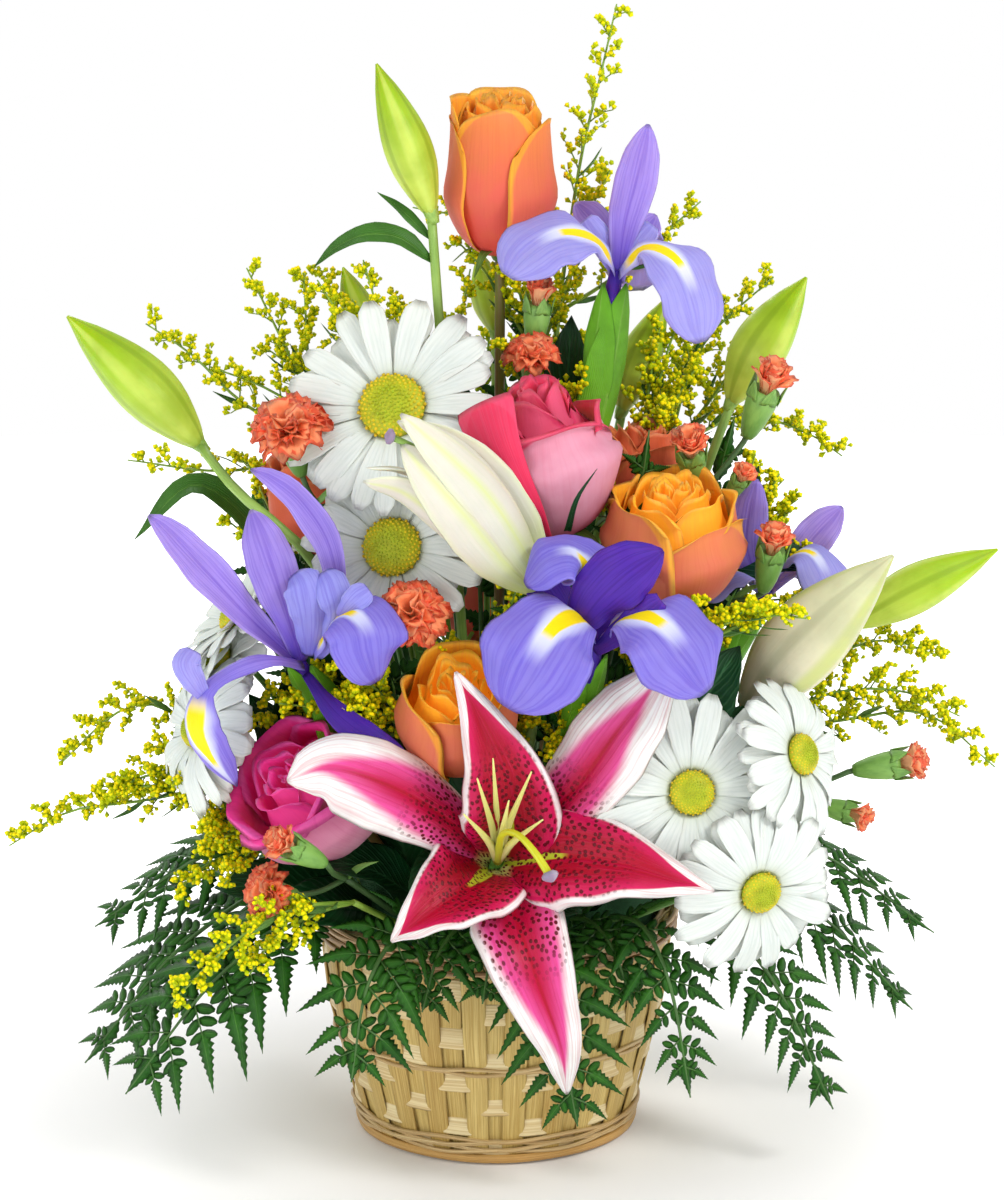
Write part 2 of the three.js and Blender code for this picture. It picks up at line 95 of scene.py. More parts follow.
sky = bpy.data.worlds.new("studio")
sky.use_nodes = True
backdrop = sky.node_tree.nodes["Background"]
backdrop.inputs["Color"].default_value = (1, 1, 1, 1)
seen = sky.node_tree.nodes.new("ShaderNodeLightPath").outputs["Is Camera Ray"]
power = sky.node_tree.nodes.new("ShaderNodeMapRange")
power.inputs["To Min"].default_value = SKY_LIGHT
power.inputs["To Max"].default_value = 1.0
sky.node_tree.links.new(seen, power.inputs["Value"])
sky.node_tree.links.new(power.outputs[0], backdrop.inputs["Strength"])
bpy.context.scene.world = sky
add_lamp("key", (1200, -1150, 1500), (0, 0, 200), 520, 22.5, (1, 0.985, 0.96))
add_lamp("fill", (-1300, -1200, 700), (0, 0, 220), 1200, 10)
add_lamp("rim", (-500, 1300, 1300), (0, 0, 260), 800, 12)


def join_up(tree, kind, inputs=None, **settings):
    """Adds a node with its settings, and wires or sets its inputs."""
    made = tree.nodes.new(kind)
    for key, value in settings.items():
        setattr(made, key, value)
    for key, value in (inputs or {}).items():
        if isinstance(value, bpy.types.NodeSocket):
            tree.links.new(value, made.inputs[key])
        else:
            made.inputs[key].default_value = value
    return made


def carried(tree, name):
    """A value that the mesh carries at its points."""
    return join_up(tree, "ShaderNodeAttribute", attribute_name=name).outputs["Fac"]


def unrolled(tree):
    """The place on a piece when it is laid flat: along it in X and across it in Y."""
    spot = join_up(tree, "ShaderNodeUVMap", uv_map="place").outputs["UV"]
    return join_up(tree, "ShaderNodeSeparateXYZ", {"Vector": spot}).outputs


def new_material(name, roughness, **constants):
    """A material with one Principled shader, and its node tree and shader."""
    material = bpy.data.materials.new(name)
    material.use_nodes = True
    shader = material.node_tree.nodes["Principled BSDF"]
    shader.inputs["Roughness"].default_value = roughness
    for key, value in constants.items():
        shader.inputs[key.replace("_", " ")].default_value = value
    return material, material.node_tree, shader


def colour(red, green, blue):
    """A colour given as it looks on a screen, 0 to 255, in the linear values that shaders take."""
    return (*[(c / 255) ** 2.2 for c in (red, green, blue)], 1)


def mix(tree, share, first, second, way="MIX"):
    """One colour over another."""
    inputs = {0: share, 6: first, 7: second}
    return join_up(tree, "ShaderNodeMix", inputs, data_type="RGBA", blend_type=way).outputs[2]


def sum_of(tree, way, first, second=0.0):
    """The result of a Math node."""
    return join_up(tree, "ShaderNodeMath", {0: first, 1: second}, operation=way).outputs[0]


def times(tree, first, second):
    """One value multiplied by another."""
    return sum_of(tree, "MULTIPLY", first, second)


def fade(tree, value, low, high, start=0.0, end=1.0):
    """A smooth step of a value from one level to another."""
    inputs = {"Value": value, "From Min": low, "From Max": high, "To Min": start, "To Max": end}
    return join_up(tree, "ShaderNodeMapRange", inputs, interpolation_type="SMOOTHSTEP").outputs[0]


def new_group(name, inputs, outputs):
    """A shader node group with its named sockets, given as {name: default} and {name: kind}."""
    group = bpy.data.node_groups.new(name, "ShaderNodeTree")
    for key, default in inputs.items():
        kind = "NodeSocketColor" if isinstance(default, tuple) else "NodeSocketFloat"
        group.interface.new_socket(key, in_out="INPUT", socket_type=kind).default_value = default
    for key, kind in outputs.items():
        group.interface.new_socket(key, in_out="OUTPUT", socket_type=kind)
    return group, group.nodes.new("NodeGroupInput"), group.nodes.new("NodeGroupOutput")


def place_group(tree, group, **inputs):
    """One use of a shared effect, with its own values."""
    return join_up(tree, "ShaderNodeGroup", inputs, node_tree=group)


def paint(tree, shader, shade, height=None, strength=0.5, distance=0.0004):
    """Gives a shader its base colour and, from a height, its bump; the distance is in metres."""
    tree.links.new(shade, shader.inputs["Base Color"])
    if height is not None:
        bump = join_up(tree, "ShaderNodeBump", {"Height": height, "Strength": strength, "Distance": distance})
        tree.links.new(bump.outputs["Normal"], shader.inputs["Normal"])


# Uneven colour: soft darker blotches over the whole surface, as anything grown has.
mottle, taken, given = new_group(
    "mottle",
    {"Colour": (1.0, 1.0, 1.0, 1.0), "Dark": (0.5, 0.5, 0.5, 1.0), "Scale": 60.0, "Amount": 0.5},
    {"Colour": "NodeSocketColor"},
)
where = mottle.nodes.new("ShaderNodeTexCoord").outputs["Object"]
blotch = join_up(
    mottle, "ShaderNodeTexNoise", {"Vector": where, "Scale": taken.outputs["Scale"], "Detail": 3.0}
)
patch = fade(mottle, blotch.outputs["Fac"], 0.35, 0.7)
share = times(mottle, patch, taken.outputs["Amount"])
mixed = mix(mottle, share, taken.outputs["Colour"], taken.outputs["Dark"])
mottle.links.new(mixed, given.inputs["Colour"])

floor_material, floor_tree, floor_shader = new_material("studio_floor", 0.9, Emission_Color=(1, 1, 1, 1))
# The floor glows more the further it is from the basket, so that it meets the backdrop as plain white.
# The glow is painted light, and where it fades near the basket it paints a darker shadow round the basket's
# foot.
place = join_up(floor_tree, "ShaderNodeTexCoord").outputs["Object"]
gone = join_up(floor_tree, "ShaderNodeVectorMath", {0: place}, operation="LENGTH").outputs["Value"]
floor_tree.links.new(fade(floor_tree, gone, 0.12, 0.55, 0.06, 0.75), floor_shader.inputs["Emission Strength"])
floor_paint = place_group(
    floor_tree, mottle, Colour=(0.9, 0.9, 0.9, 1), Dark=(0.88, 0.88, 0.88, 1), Scale=4.0, Amount=0.4
)
paint(floor_tree, floor_shader, floor_paint.outputs["Colour"])

angles = np.linspace(0, 2 * math.pi, 64, endpoint=False)
floor_mesh = bpy.data.meshes.new("floor")
floor_edge = [(math.cos(a) * FLOOR_RADIUS * MM, math.sin(a) * FLOOR_RADIUS * MM, -0.0004) for a in angles]
floor_mesh.from_pydata(floor_edge, [], [list(range(64))])
floor_mesh.materials.append(floor_material)
floor = bpy.data.objects.new("floor", floor_mesh)
bpy.context.scene.collection.objects.link(floor)


# ---- Basket: base disc --------------------------------------------------------------------------
# A disc of thin ply with a rounded edge that everything else is woven up from. It is honey brown,
# with a fine grain, and only its edge shows below the foot band.


def grid_faces(rows, columns, wrap=False):
    """The quads of a grid of points, row by row. Wrapped, its last column joins its first."""
    row, column = np.meshgrid(np.arange(rows - 1), np.arange(columns if wrap else columns - 1), indexing="ij")
    after = (column + 1) % columns
    here, above = row * columns, (row + 1) * columns
    return np.stack([here + column, here + after, above + after, above + column], axis=-1).reshape(-1, 4)


def build(name, parts, materials, slot, *nodes):
    """Joins parts into one object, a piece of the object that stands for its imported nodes.

    A part has points, face arrays, and per-point uv (along, across), tone and back; its finish is
    its place in the list of materials.
    """
    points = np.concatenate([p["points"] for p in parts]) * MM
    counts = np.cumsum([0] + [len(p["points"]) for p in parts])
    corners, sizes, finish = [], [], []
    for part, first in zip(parts, counts):
        for faces in part["faces"]:
            corners.append((np.asarray(faces) + first).ravel())
            sizes.append(np.full(len(faces), faces.shape[1]))
            finish.append(np.full(len(faces), part.get("finish", 0)))
    corners, sizes, finish = (np.concatenate(values) for values in (corners, sizes, finish))
    mesh = bpy.data.meshes.new(name)
    mesh.vertices.add(len(points))
    mesh.vertices.foreach_set("co", points.ravel())
    mesh.loops.add(len(corners))
    mesh.loops.foreach_set("vertex_index", corners)
    mesh.polygons.add(len(sizes))
    mesh.polygons.foreach_set("loop_start", np.concatenate([[0], np.cumsum(sizes)[:-1]]))
    mesh.polygons.foreach_set("material_index", finish)
    mesh.polygons.foreach_set("use_smooth", np.ones(len(sizes), bool))
    mesh.update(calc_edges=True)
    for key in ("tone", "back"):
        values = [np.broadcast_to(p.get(key, 0.0), len(p["points"])) for p in parts]
        mesh.attributes.new(key, "FLOAT", "POINT").data.foreach_set("value", np.concatenate(values))
    uv = np.concatenate([p["uv"] for p in parts])
    mesh.uv_layers.new(name="place").data.foreach_set("uv", uv[corners].ravel())
    for material in materials:
        mesh.materials.append(material)
    piece = bpy.data.objects.new(name, mesh)
    bpy.context.scene.collection.objects.link(piece)
    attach(piece, "root")
    if any(nodes):
        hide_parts(*nodes)


def turned(profile, sides, finish=0):
    """A turned solid: (radius, height) pairs from the axis, round the outside, back to the axis."""
    profile = np.array(profile, float)
    ring = profile[1:-1]
    turn = np.linspace(0, 2 * math.pi, sides, endpoint=False)
    radius, height = ring[:, :1], ring[:, 1:]
    body = np.stack([radius * np.cos(turn), radius * np.sin(turn), height + 0 * turn], axis=-1)
    ends = [[0, 0, profile[0, 1]], [0, 0, profile[-1, 1]]]
    points = np.concatenate([body.reshape(-1, 3), ends])
    share = np.linspace(0, 1, len(ring))[:, None] + 0 * turn
    uv = np.stack([share, turn / (2 * math.pi) + 0 * share], axis=-1).reshape(-1, 2)
    side = np.arange(sides)
    after = (side + 1) % sides
    last = (len(ring) - 1) * sides
    bottom = np.stack([after, side, np.full(sides, len(points) - 2)], axis=-1)
    top = np.stack([last + side, last + after, np.full(sides, len(points) - 1)], axis=-1)
    faces = [grid_faces(len(ring), sides, wrap=True), bottom, top]
    uv = np.concatenate([uv, [[0, 0], [1, 0]]])
    return {"points": points, "faces": faces, "uv": uv, "finish": finish}


def wood_material(name, light, dark, grain, gloss):
    """Dry split wood or cane: grain along the piece, uneven colour, and a worn sheen."""
    material, tree, shader = new_material(name, gloss)
    fibre = place_group(tree, fibres, Stretch=grain)
    base = mix(tree, fibre.outputs["Lines"], colour(*light), colour(*dark))
    shaded = mix(tree, carried(tree, "tone"), base, colour(*dark), "MULTIPLY")
    worn = place_group(tree, mottle, Colour=shaded, Dark=colour(*dark), Scale=45.0, Amount=0.35)
    paint(tree, shader, worn.outputs["Colour"], fibre.outputs["Lines"])
    return material


# Fibres that run along a piece: fine lines across it, broken up along it, as split wood shows.
fibres, taken, given = new_group("fibres", {"Stretch": 30.0}, {"Lines": "NodeSocketFloat"})
flat = unrolled(fibres)
offset = times(fibres, carried(fibres, "tone"), 37.0)
across = times(fibres, flat["Y"], taken.outputs["Stretch"])
along = times(fibres, flat["X"], 3.0)
place = join_up(fibres, "ShaderNodeCombineXYZ", {"X": along, "Y": across, "Z": offset}).outputs[0]
inputs = {"Vector": place, "Scale": 1.0, "Detail": 4.0, "Roughness": 0.65}
streak = join_up(fibres, "ShaderNodeTexNoise", inputs).outputs["Fac"]
fibres.links.new(fade(fibres, streak, 0.36, 0.66), given.inputs["Lines"])

splint_wood = wood_material("splint_wood", (226, 202, 128), (190, 158, 84), 18.0, 0.55)
cane_wood = wood_material("cane_wood", (236, 214, 160), (188, 152, 96), 5.0, 0.42)
BASE_ROUNDING = 1.2
base_high = np.array(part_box("basket_base")[1]) / MM
base_radius, base_top = base_high[0], base_high[2]
base_profile = [
    (0, 0), (base_radius * 0.5, 0), (base_radius - 1, 0), (base_radius, BASE_ROUNDING),
    (base_radius, base_top - BASE_ROUNDING), (base_radius - 1, base_top), (base_radius * 0.5, base_top),
    (0, base_top),
]
build("basket_base_disc", [turned(base_profile, 72)], [splint_wood], "basket_splint", "basket_base")


# ---- Basket: woven wall -------------------------------------------------------------------------
# Upright stakes with flat strands of splint woven in and out of them row by row, and broad flat
# splints laid over the weave on the outside, between the stakes. All are thin split wood.

random = np.random.default_rng(7)
WALL_LEVELS = [0, 36, 65, 84, 112]
WALL_RADII = [66.5, 76, 83, 85.5, 88]
STAKES = 24
WEAVE_ROWS = 9
WEAVE_HEIGHT = 108
UPRIGHT_POINTS = 26
STAND_OUT = -0.18  # how far the wall's outward direction tips down, because it flares


def wall_radius(height):
    """The wall's outer radius, which flares from the foot to the rim."""
    return np.interp(height, WALL_LEVELS, WALL_RADII)


def band(centres, outs, ups, width, thick, bow=0.0, finish=0, tone=0.0, closed=False):
    """A flat strand along a line of points, with its outward and widthways directions at each.

    The width and thickness may change along it, and bow lifts its middle so that it isn't flat.
    """
    rows = len(centres)
    width, thick = np.broadcast_to(width, rows), np.broadcast_to(thick, rows)
    shape = [(-0.5, 0), (-0.42, 0.5), (0, 0.5 + bow), (0.42, 0.5), (0.5, 0), (0.42, -0.5), (-0.42, -0.5)]
    side, lift = np.array(shape).T
    points = (
        centres[:, None]
        + ups[:, None] * (side * width[:, None])[..., None]
        + outs[:, None] * (lift * thick[:, None])[..., None]
    )
    count = len(shape)
    uv = np.stack(np.broadcast_arrays(np.linspace(0, 1, rows)[:, None], side + 0.5), axis=-1)
    flipped = np.dot(np.cross(ups[0], outs[0]), centres[1] - centres[0]) > 0
    if closed:
        around = grid_faces(rows + 1, count, wrap=True) % (rows * count)
        faces = [around[:, ::-1] if flipped else around]
    else:
        caps = np.array([np.arange(count)[::-1], (rows - 1) * count + np.arange(count)])
        faces = [grid_faces(rows, count, wrap=True), caps]
    return {
        "points": points.reshape(-1, 3), "faces": faces, "uv": uv.reshape(-1, 2), "finish": finish,
        "tone": tone
    }


def round_wall(angle, height, offset):
    """Places on the wall's outer face, moved out by an offset."""
    radius = wall_radius(height) + offset
    return np.stack(np.broadcast_arrays(radius * np.cos(angle), radius * np.sin(angle), height), axis=-1)


def upright(angle, bottom, top, offset, width, thick, bow, tone):
    """One splint or stake that stands up the wall, a little out of true."""
    heights = np.linspace(bottom, top, UPRIGHT_POINTS)
    lean = random.normal(0, 0.006) + 0.004 * np.sin(heights / 19 + random.uniform(0, 6))
    ripple = 0.18 * np.sin(heights / 7 + random.uniform(0, 6))
    centres = round_wall(angle + lean, heights, offset + ripple)
    out = np.array([math.cos(angle), math.sin(angle), STAND_OUT])
    outs = np.tile(out / np.linalg.norm(out), (UPRIGHT_POINTS, 1))
    across = np.tile([-math.sin(angle), math.cos(angle), 0], (UPRIGHT_POINTS, 1))
    taper = np.interp(heights, [0, WALL_LEVELS[-1]], [0.86, 1.04]) * width
    return band(centres, outs, across, taper, thick, bow, tone=tone)


wall_parts = []
for stake in range(STAKES):
    angle = 2 * math.pi * stake / STAKES
    wall_parts.append(upright(angle, 1.5, 110, -1.9, 11.6, 0.9, 0.1, random.uniform(0.0, 0.35)))
    half = angle + math.pi / STAKES
    width = random.uniform(11.4, 12.6)
    wall_parts.append(upright(half, 1.2, 110.4, -0.5, width, 1.0, 0.25, random.uniform(0.1, 0.5)))
row_height = WEAVE_HEIGHT / WEAVE_ROWS
turn = np.linspace(0, 2 * math.pi, STAKES * 8, endpoint=False)
for row in range(WEAVE_ROWS):
    # The strand passes outside one stake and inside the next; under the broad splints it crosses.
    level = 2.4 + row_height * (row + 0.5) + 0.5 * np.sin(turn * 3 + row * 2)
    swing = np.cos(turn * STAKES / 2 + math.pi * row)
    offset = -2.3 + 1.45 * np.clip(swing * 1.8, -1, 1)
    centres = round_wall(turn, level, offset)
    outs = np.stack([np.cos(turn), np.sin(turn), 0 * turn + STAND_OUT], axis=-1)
    ups = np.tile([0.0, 0.0, 1.0], (len(turn), 1))
    tone = random.uniform(0, 0.3)
    wall_parts.append(band(centres, outs, ups, row_height - 1.0, 0.7, 0.15, finish=1, tone=tone, closed=True))
weaver_wood = wood_material("weaver_wood", (242, 226, 178), (212, 186, 132), 10.0, 0.5)
build("woven_wall", wall_parts, [splint_wood, weaver_wood], "basket_splint", "basket_wall")


# ---- Basket: rim, middle band and foot band -------------------------------------------------------
# Thin strips of cane twined in pairs round the splints: one strip passes outside where the other
# passes inside, and they cross between. Ten bind the rim, inside and out, two the middle, five the foot.


def twined(levels, offset, width, thick, waves, lift, sway, tilt=0.0, finish=0):
    """Strips of cane round the basket at some heights, each weaving against the one before it."""
    around = np.linspace(0, 2 * math.pi, 200, endpoint=False)
    strips = []
    for number, level in enumerate(levels):
        phase = math.pi * number + random.uniform(-0.3, 0.3)
        height = level + lift * np.sin(around * waves + phase) + tilt * np.cos(around - 0.3)
        height = height + 0.3 * np.sin(around * 5 + number)
        out = offset + sway * np.cos(around * waves + phase)
        centres = round_wall(around, height, out)
        outs = np.stack([np.cos(around), np.sin(around), 0 * around], axis=-1)
        slope = np.gradient(height) / (np.gradient(around) * wall_radius(level))
        across = np.stack([slope * np.sin(around), -slope * np.cos(around), 1 + 0 * around], axis=-1)
        tone = random.uniform(0, 0.55)
        strips.append(band(centres, outs, across, width, thick, 0.35, finish, tone, closed=True))
    return strips


rim_cane = wood_material("rim_cane", (222, 192, 146), (164, 124, 84), 4.0, 0.45)
hoop_wood = wood_material("hoop_wood", (226, 186, 112), (186, 138, 70), 7.0, 0.4)
outer_rim = twined([101.0, 102.9, 104.8, 106.7, 108.6, 110.5], 1.1, 2.1, 1.4, 10, 0.75, 0.4)
build("rim_cane_outside", outer_rim, [rim_cane], "basket_cane", "rim_outer_hoop")
inner_rim = twined([102.0, 104.6, 107.2, 109.8], -5.4, 2.7, 1.2, 9, 0.6, 0.2)
build("rim_cane_inside", inner_rim, [rim_cane], "basket_cane", "rim_inner_hoop")
middle_parts = twined([50.2, 52.3], 0.85, 1.9, 1.1, STAKES / 2, 0.7, 0.25, tilt=1.2)
build("middle_cane", middle_parts, [cane_wood], "basket_cane", "mid_band")
foot_parts = twined([6.6, 8.7, 10.8, 12.8], 1.1, 2.0, 1.3, 7, 1.1, 0.45)
foot_parts += twined([2.9], 1.0, 4.4, 2.2, 3, 0.15, 0.1, finish=1)
build("foot_cane", foot_parts, [cane_wood, hoop_wood], "basket_cane", "foot_band")


# ---- Liner and foam -------------------------------------------------------------------------------
# A thin dark green plastic pot keeps the water off the weave. A block of wet floral foam, cut to fill
# it, holds every stem; it is crumbly, dark from the water, and pitted where stems went in.

LINER_THICK = 1.2
STRAND_THICK = 4.4  # the weave and its clearance, between the wall's outer face and the liner
liner_low, liner_high = (np.array(corner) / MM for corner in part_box("liner"))
liner_floor, liner_top = liner_low[2], liner_high[2]


def liner_profile():
    """Up the outside of the pot, over its rolled edge, and down the inside to the middle."""
    outside = [(wall_radius(z) - STRAND_THICK, z) for z in np.linspace(liner_floor + 2, liner_top - 1, 9)]
    lip = [(wall_radius(liner_top) - STRAND_THICK - 0.6, liner_top)]
    inside = [(r - LINER_THICK, max(z, liner_floor + 1.4)) for r, z in outside[::-1]]
    heel = [(outside[0][0] - 2, liner_floor)]
    return [(0, liner_floor), *heel, *outside, *lip, *inside, (0, liner_floor + 1.4)]


liner_plastic, tree, shader = new_material("liner_plastic", 0.4)
film = place_group(tree, mottle, Colour=colour(38, 62, 36), Dark=colour(24, 42, 26), Scale=30.0, Amount=0.5)
paint(tree, shader, film.outputs["Colour"])
build("liner_pot", [turned(liner_profile(), 64)], [liner_plastic], "liner", "liner")

foam_low, foam_high = (np.array(corner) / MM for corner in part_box("foam_block"))
FOAM_IN_POT = 98  # the foam fills the pot up to here, and stands straight from there to its shoulder
FOAM_SHOULDER = 117
foam_crown = foam_high[2] - 0.4
foam_rows = [(0, foam_low[2])]
foam_rows += [(wall_radius(z) - STRAND_THICK - 3.2, z) for z in np.linspace(foam_low[2], FOAM_IN_POT, 10)]
foam_rows += [(wall_radius(FOAM_IN_POT) - STRAND_THICK - 5.4, z) for z in np.linspace(102, FOAM_SHOULDER, 4)]
foam_rows += [(np.interp(z, [FOAM_SHOULDER, foam_high[2]], [78, 62]), z) for z in (121, 126, 131)]
foam_rows += [(r, foam_crown) for r in (60, 48, 36, 24, 12, 0)]
foam_part = turned(foam_rows, 80)
crumbs = np.random.default_rng(3).normal(0, 0.35, (len(foam_part["points"]), 3))
foam_part["points"] = foam_part["points"] + crumbs * (foam_part["points"][:, 2:] > 90)

wet_foam, tree, shader = new_material("wet_foam", 0.95)
where = tree.nodes.new("ShaderNodeTexCoord").outputs["Object"]
pits = join_up(tree, "ShaderNodeTexNoise", {"Vector": where, "Scale": 900.0, "Detail": 4.0}).outputs["Fac"]
wet = place_group(tree, mottle, Colour=colour(46, 92, 58), Dark=colour(26, 60, 38), Scale=38.0, Amount=0.8)
paint(tree, shader, wet.outputs["Colour"], pits, 0.7, 0.001)
build("foam", [foam_part], [wet_foam], "foam", "foam_block")


# ---- Fern fronds ----------------------------------------------------------------------------------
# Cut leatherleaf fern, stiff, dark and glossy. Each frond has a wiry midrib with side branches that
# shorten to the tip; a branch carries small lobed leaflets and ends in one saw-edged blade.

FOOT_HEIGHT = 98  # where the cut ends of the stems stand in the foam
FOOT_SPREAD = 44
FOOT_LEAN = 70


def unit(vectors):
    """Vectors scaled to a length of one."""
    vectors = np.asarray(vectors, float)
    return vectors / np.maximum(np.linalg.norm(vectors, axis=-1, keepdims=True), 1e-9)


def smooth_line(places, count):
    """Evenly spaced points on a smooth line through some places."""
    knots = np.array(places, float)
    if len(knots) == 2:
        return knots[0] + np.linspace(0, 1, count)[:, None] * (knots[1] - knots[0])
    ends = np.concatenate([[2 * knots[0] - knots[1]], knots, [2 * knots[-1] - knots[-2]]])
    t = np.linspace(0, 1, 12, endpoint=False)[:, None]
    runs = []
    for a, b, c, d in zip(ends, ends[1:], ends[2:], ends[3:]):
        runs.append(b + 0.5 * t * (c - a + t * (2 * a - 5 * b + 4 * c - d + t * (3 * b - a - 3 * c + d))))
    fine = np.concatenate([*runs, knots[-1:]])
    gone = np.concatenate([[0], np.cumsum(np.linalg.norm(np.diff(fine, axis=0), axis=1))])
    wanted = np.linspace(0, gone[-1], count)
    return np.stack([np.interp(wanted, gone, fine[:, axis]) for axis in range(3)], axis=-1)


def shell(sheet, inward, thick, finish=0, tone=0.0):
    """Closes a grid of points into a blade with thin edges, whose front faces the inward direction."""
    rows, columns = sheet.shape[:2]
    normal = unit(np.cross(np.gradient(sheet, axis=0), np.gradient(sheet, axis=1)))
    flip = np.sign(np.sum(normal[rows // 2, columns // 2] * inward)) or 1.0
    middle = (slice(1, -1), slice(1, -1))
    front = sheet.copy()
    front[middle] += normal[middle] * flip * thick / 2
    rear = (sheet - normal * flip * thick / 2)[middle].reshape(-1, 3)
    behind = np.arange(rows * columns).reshape(rows, columns)
    behind[middle] = rows * columns + np.arange(len(rear)).reshape(rows - 2, columns - 2)
    quads = grid_faces(rows, columns)
    quads_behind = behind.ravel()[quads][:, ::-1]
    if flip > 0:
        quads, quads_behind = quads[:, ::-1], quads_behind[:, ::-1]
    u, v = np.meshgrid(np.linspace(0, 1, rows), np.linspace(0, 1, columns), indexing="ij")
    uv = np.stack([u, v], axis=-1)
    return {
        "points": np.concatenate([front.reshape(-1, 3), rear]),
        "faces": [quads, quads_behind],
        "uv": np.concatenate([uv.reshape(-1, 2), uv[middle].reshape(-1, 2)]),
        "back": np.concatenate([np.zeros(rows * columns), np.ones(len(rear))]),
        "tone": tone,
        "finish": finish,
    }


def petal(line, width, face, outline, cup=0.0, ruffle=0.0, waves=3.0, roll=0.0, keel=0.0, thick=0.5,
          rows=14, columns=9, finish=0, tone=0.0, phase=0.0, twist=0.0):
    """A petal or leaf: a thin closed blade along a line, with its front towards a direction.

    The outline gives half-widths along it as (share, width) pairs or an array; cup bends its edges
    forward and roll turns them back, in radians; ruffle waves them; keel sinks the midrib; twist
    turns the blade along its length.
    """
    rib = smooth_line(line, rows)
    u = np.linspace(0, 1, rows)
    along = unit(np.gradient(rib, axis=0))
    across = unit(np.cross(np.array(face, float), along))
    out = np.cross(along, across)
    spin = (twist * u)[:, None]
    across, out = across * np.cos(spin) + out * np.sin(spin), out * np.cos(spin) - across * np.sin(spin)
    half = np.array(outline, float)
    if half.ndim == 2:
        half = np.interp(u, half[:, 0], half[:, 1])
    half = np.maximum(half * width / 2, 0.12)[:, None]
    inner = np.linspace(-1, 1, columns - 2) * 0.93 if columns > 3 else [0]
    v = np.concatenate([[-1], inner, [1]])
    bend = np.interp(u, np.linspace(0, 1, np.size(cup)), np.atleast_1d(cup))[:, None] + 1e-4
    sideways = half * np.sin(v * bend) / bend
    rise = half * (1 - np.cos(v * bend)) / bend
    edge = np.abs(v)
    wave = np.sin(2 * math.pi * waves * u[:, None] + phase + 2.1 * (v > 0))
    rise = rise + ruffle * edge**2.2 * wave * np.sin(math.pi * u[:, None]) ** 0.5
    rise = rise - roll * half * np.clip((edge - 0.55) / 0.45, 0, 1) ** 2
    rise = rise - keel * half * np.exp(-((v / 0.16) ** 2))
    sheet = rib[:, None] + across[:, None] * sideways[..., None] + out[:, None] * rise[..., None]
    return shell(sheet, out[rows // 2], thick, finish, tone)


def stalk(line, radius, sides=7, rows=10, finish=0, tone=0.0, lobes=0, depth=0.0):
    """A round stem, branch or bud along a line, closed at its ends. Its radius may change along it,
    and lobes cut grooves of some depth down its sides."""
    rib = smooth_line(line, rows)
    along = unit(np.gradient(rib, axis=0))
    across = [unit(np.cross(along[0], [0.31, 0.87, 0.37]))]
    for direction in along[1:]:
        across.append(unit(across[-1] - direction * np.dot(across[-1], direction)))
    across = np.array(across)
    out = np.cross(along, across)
    turn = np.linspace(0, 2 * math.pi, sides, endpoint=False)
    reach = np.interp(np.linspace(0, 1, rows), np.linspace(0, 1, np.size(radius)), np.atleast_1d(radius))
    ring = reach[:, None] * (1 + depth * np.cos(lobes * turn))
    points = rib[:, None] + ring[..., None] * (
        across[:, None] * np.cos(turn)[:, None] + out[:, None] * np.sin(turn)[:, None]
    )
    uv = np.stack(np.broadcast_arrays(np.linspace(0, 1, rows)[:, None], turn / (2 * math.pi)), axis=-1)
    caps = np.array([np.arange(sides)[::-1], (rows - 1) * sides + np.arange(sides)])
    return {
        "points": points.reshape(-1, 3),
        "faces": [grid_faces(rows, sides, wrap=True), caps],
        "uv": uv.reshape(-1, 2),
        "tone": tone,
        "finish": finish,
    }


# Veins of a leaf or petal: a pale rib, and fine lines that leave it at a slant or run beside it.
veins, taken, given = new_group(
    "veins", {"Count": 12.0, "Slant": 0.0, "Wander": 0.02},
    dict.fromkeys(("Lines", "Streaks", "Rib", "Edge", "Along"), "NodeSocketFloat"),
)
flat = unrolled(veins)
edge = times(veins, sum_of(veins, "ABSOLUTE", sum_of(veins, "SUBTRACT", flat["Y"], 0.5)), 2.0)
where = veins.nodes.new("ShaderNodeTexCoord").outputs["Object"]
drift = join_up(veins, "ShaderNodeTexNoise", {"Vector": where, "Scale": 90.0, "Detail": 2.0}).outputs["Fac"]
drift = times(veins, sum_of(veins, "SUBTRACT", drift, 0.5), taken.outputs["Wander"])
slanted = times(veins, flat["X"], taken.outputs["Slant"])
phase = sum_of(veins, "ADD", sum_of(veins, "SUBTRACT", edge, slanted), drift)
phase = times(veins, times(veins, phase, taken.outputs["Count"]), 6.2832)
line = sum_of(veins, "ADD", times(veins, sum_of(veins, "COSINE", phase), 0.5), 0.5)
veins.links.new(sum_of(veins, "POWER", line, 4.0), given.inputs["Lines"])
finer = times(veins, flat["Y"], times(veins, taken.outputs["Count"], 1.7))
longer = times(veins, flat["X"], 1.6)
stretched = join_up(veins, "ShaderNodeCombineXYZ", {"X": finer, "Y": longer, "Z": 0.0}).outputs[0]
streak = join_up(veins, "ShaderNodeTexNoise", {"Vector": stretched, "Scale": 1.0, "Detail": 4.0}).outputs[
    "Fac"
]
veins.links.new(fade(veins, streak, 0.42, 0.68), given.inputs["Streaks"])
veins.links.new(fade(veins, edge, 0.0, 0.09, 1.0, 0.0), given.inputs["Rib"])
veins.links.new(edge, given.inputs["Edge"])
veins.links.new(flat["X"], given.inputs["Along"])


def darker(tint, share):
    """A colour brought down to a share of its light."""
    return tuple(c * share for c in colour(*tint)[:3]) + (1,)


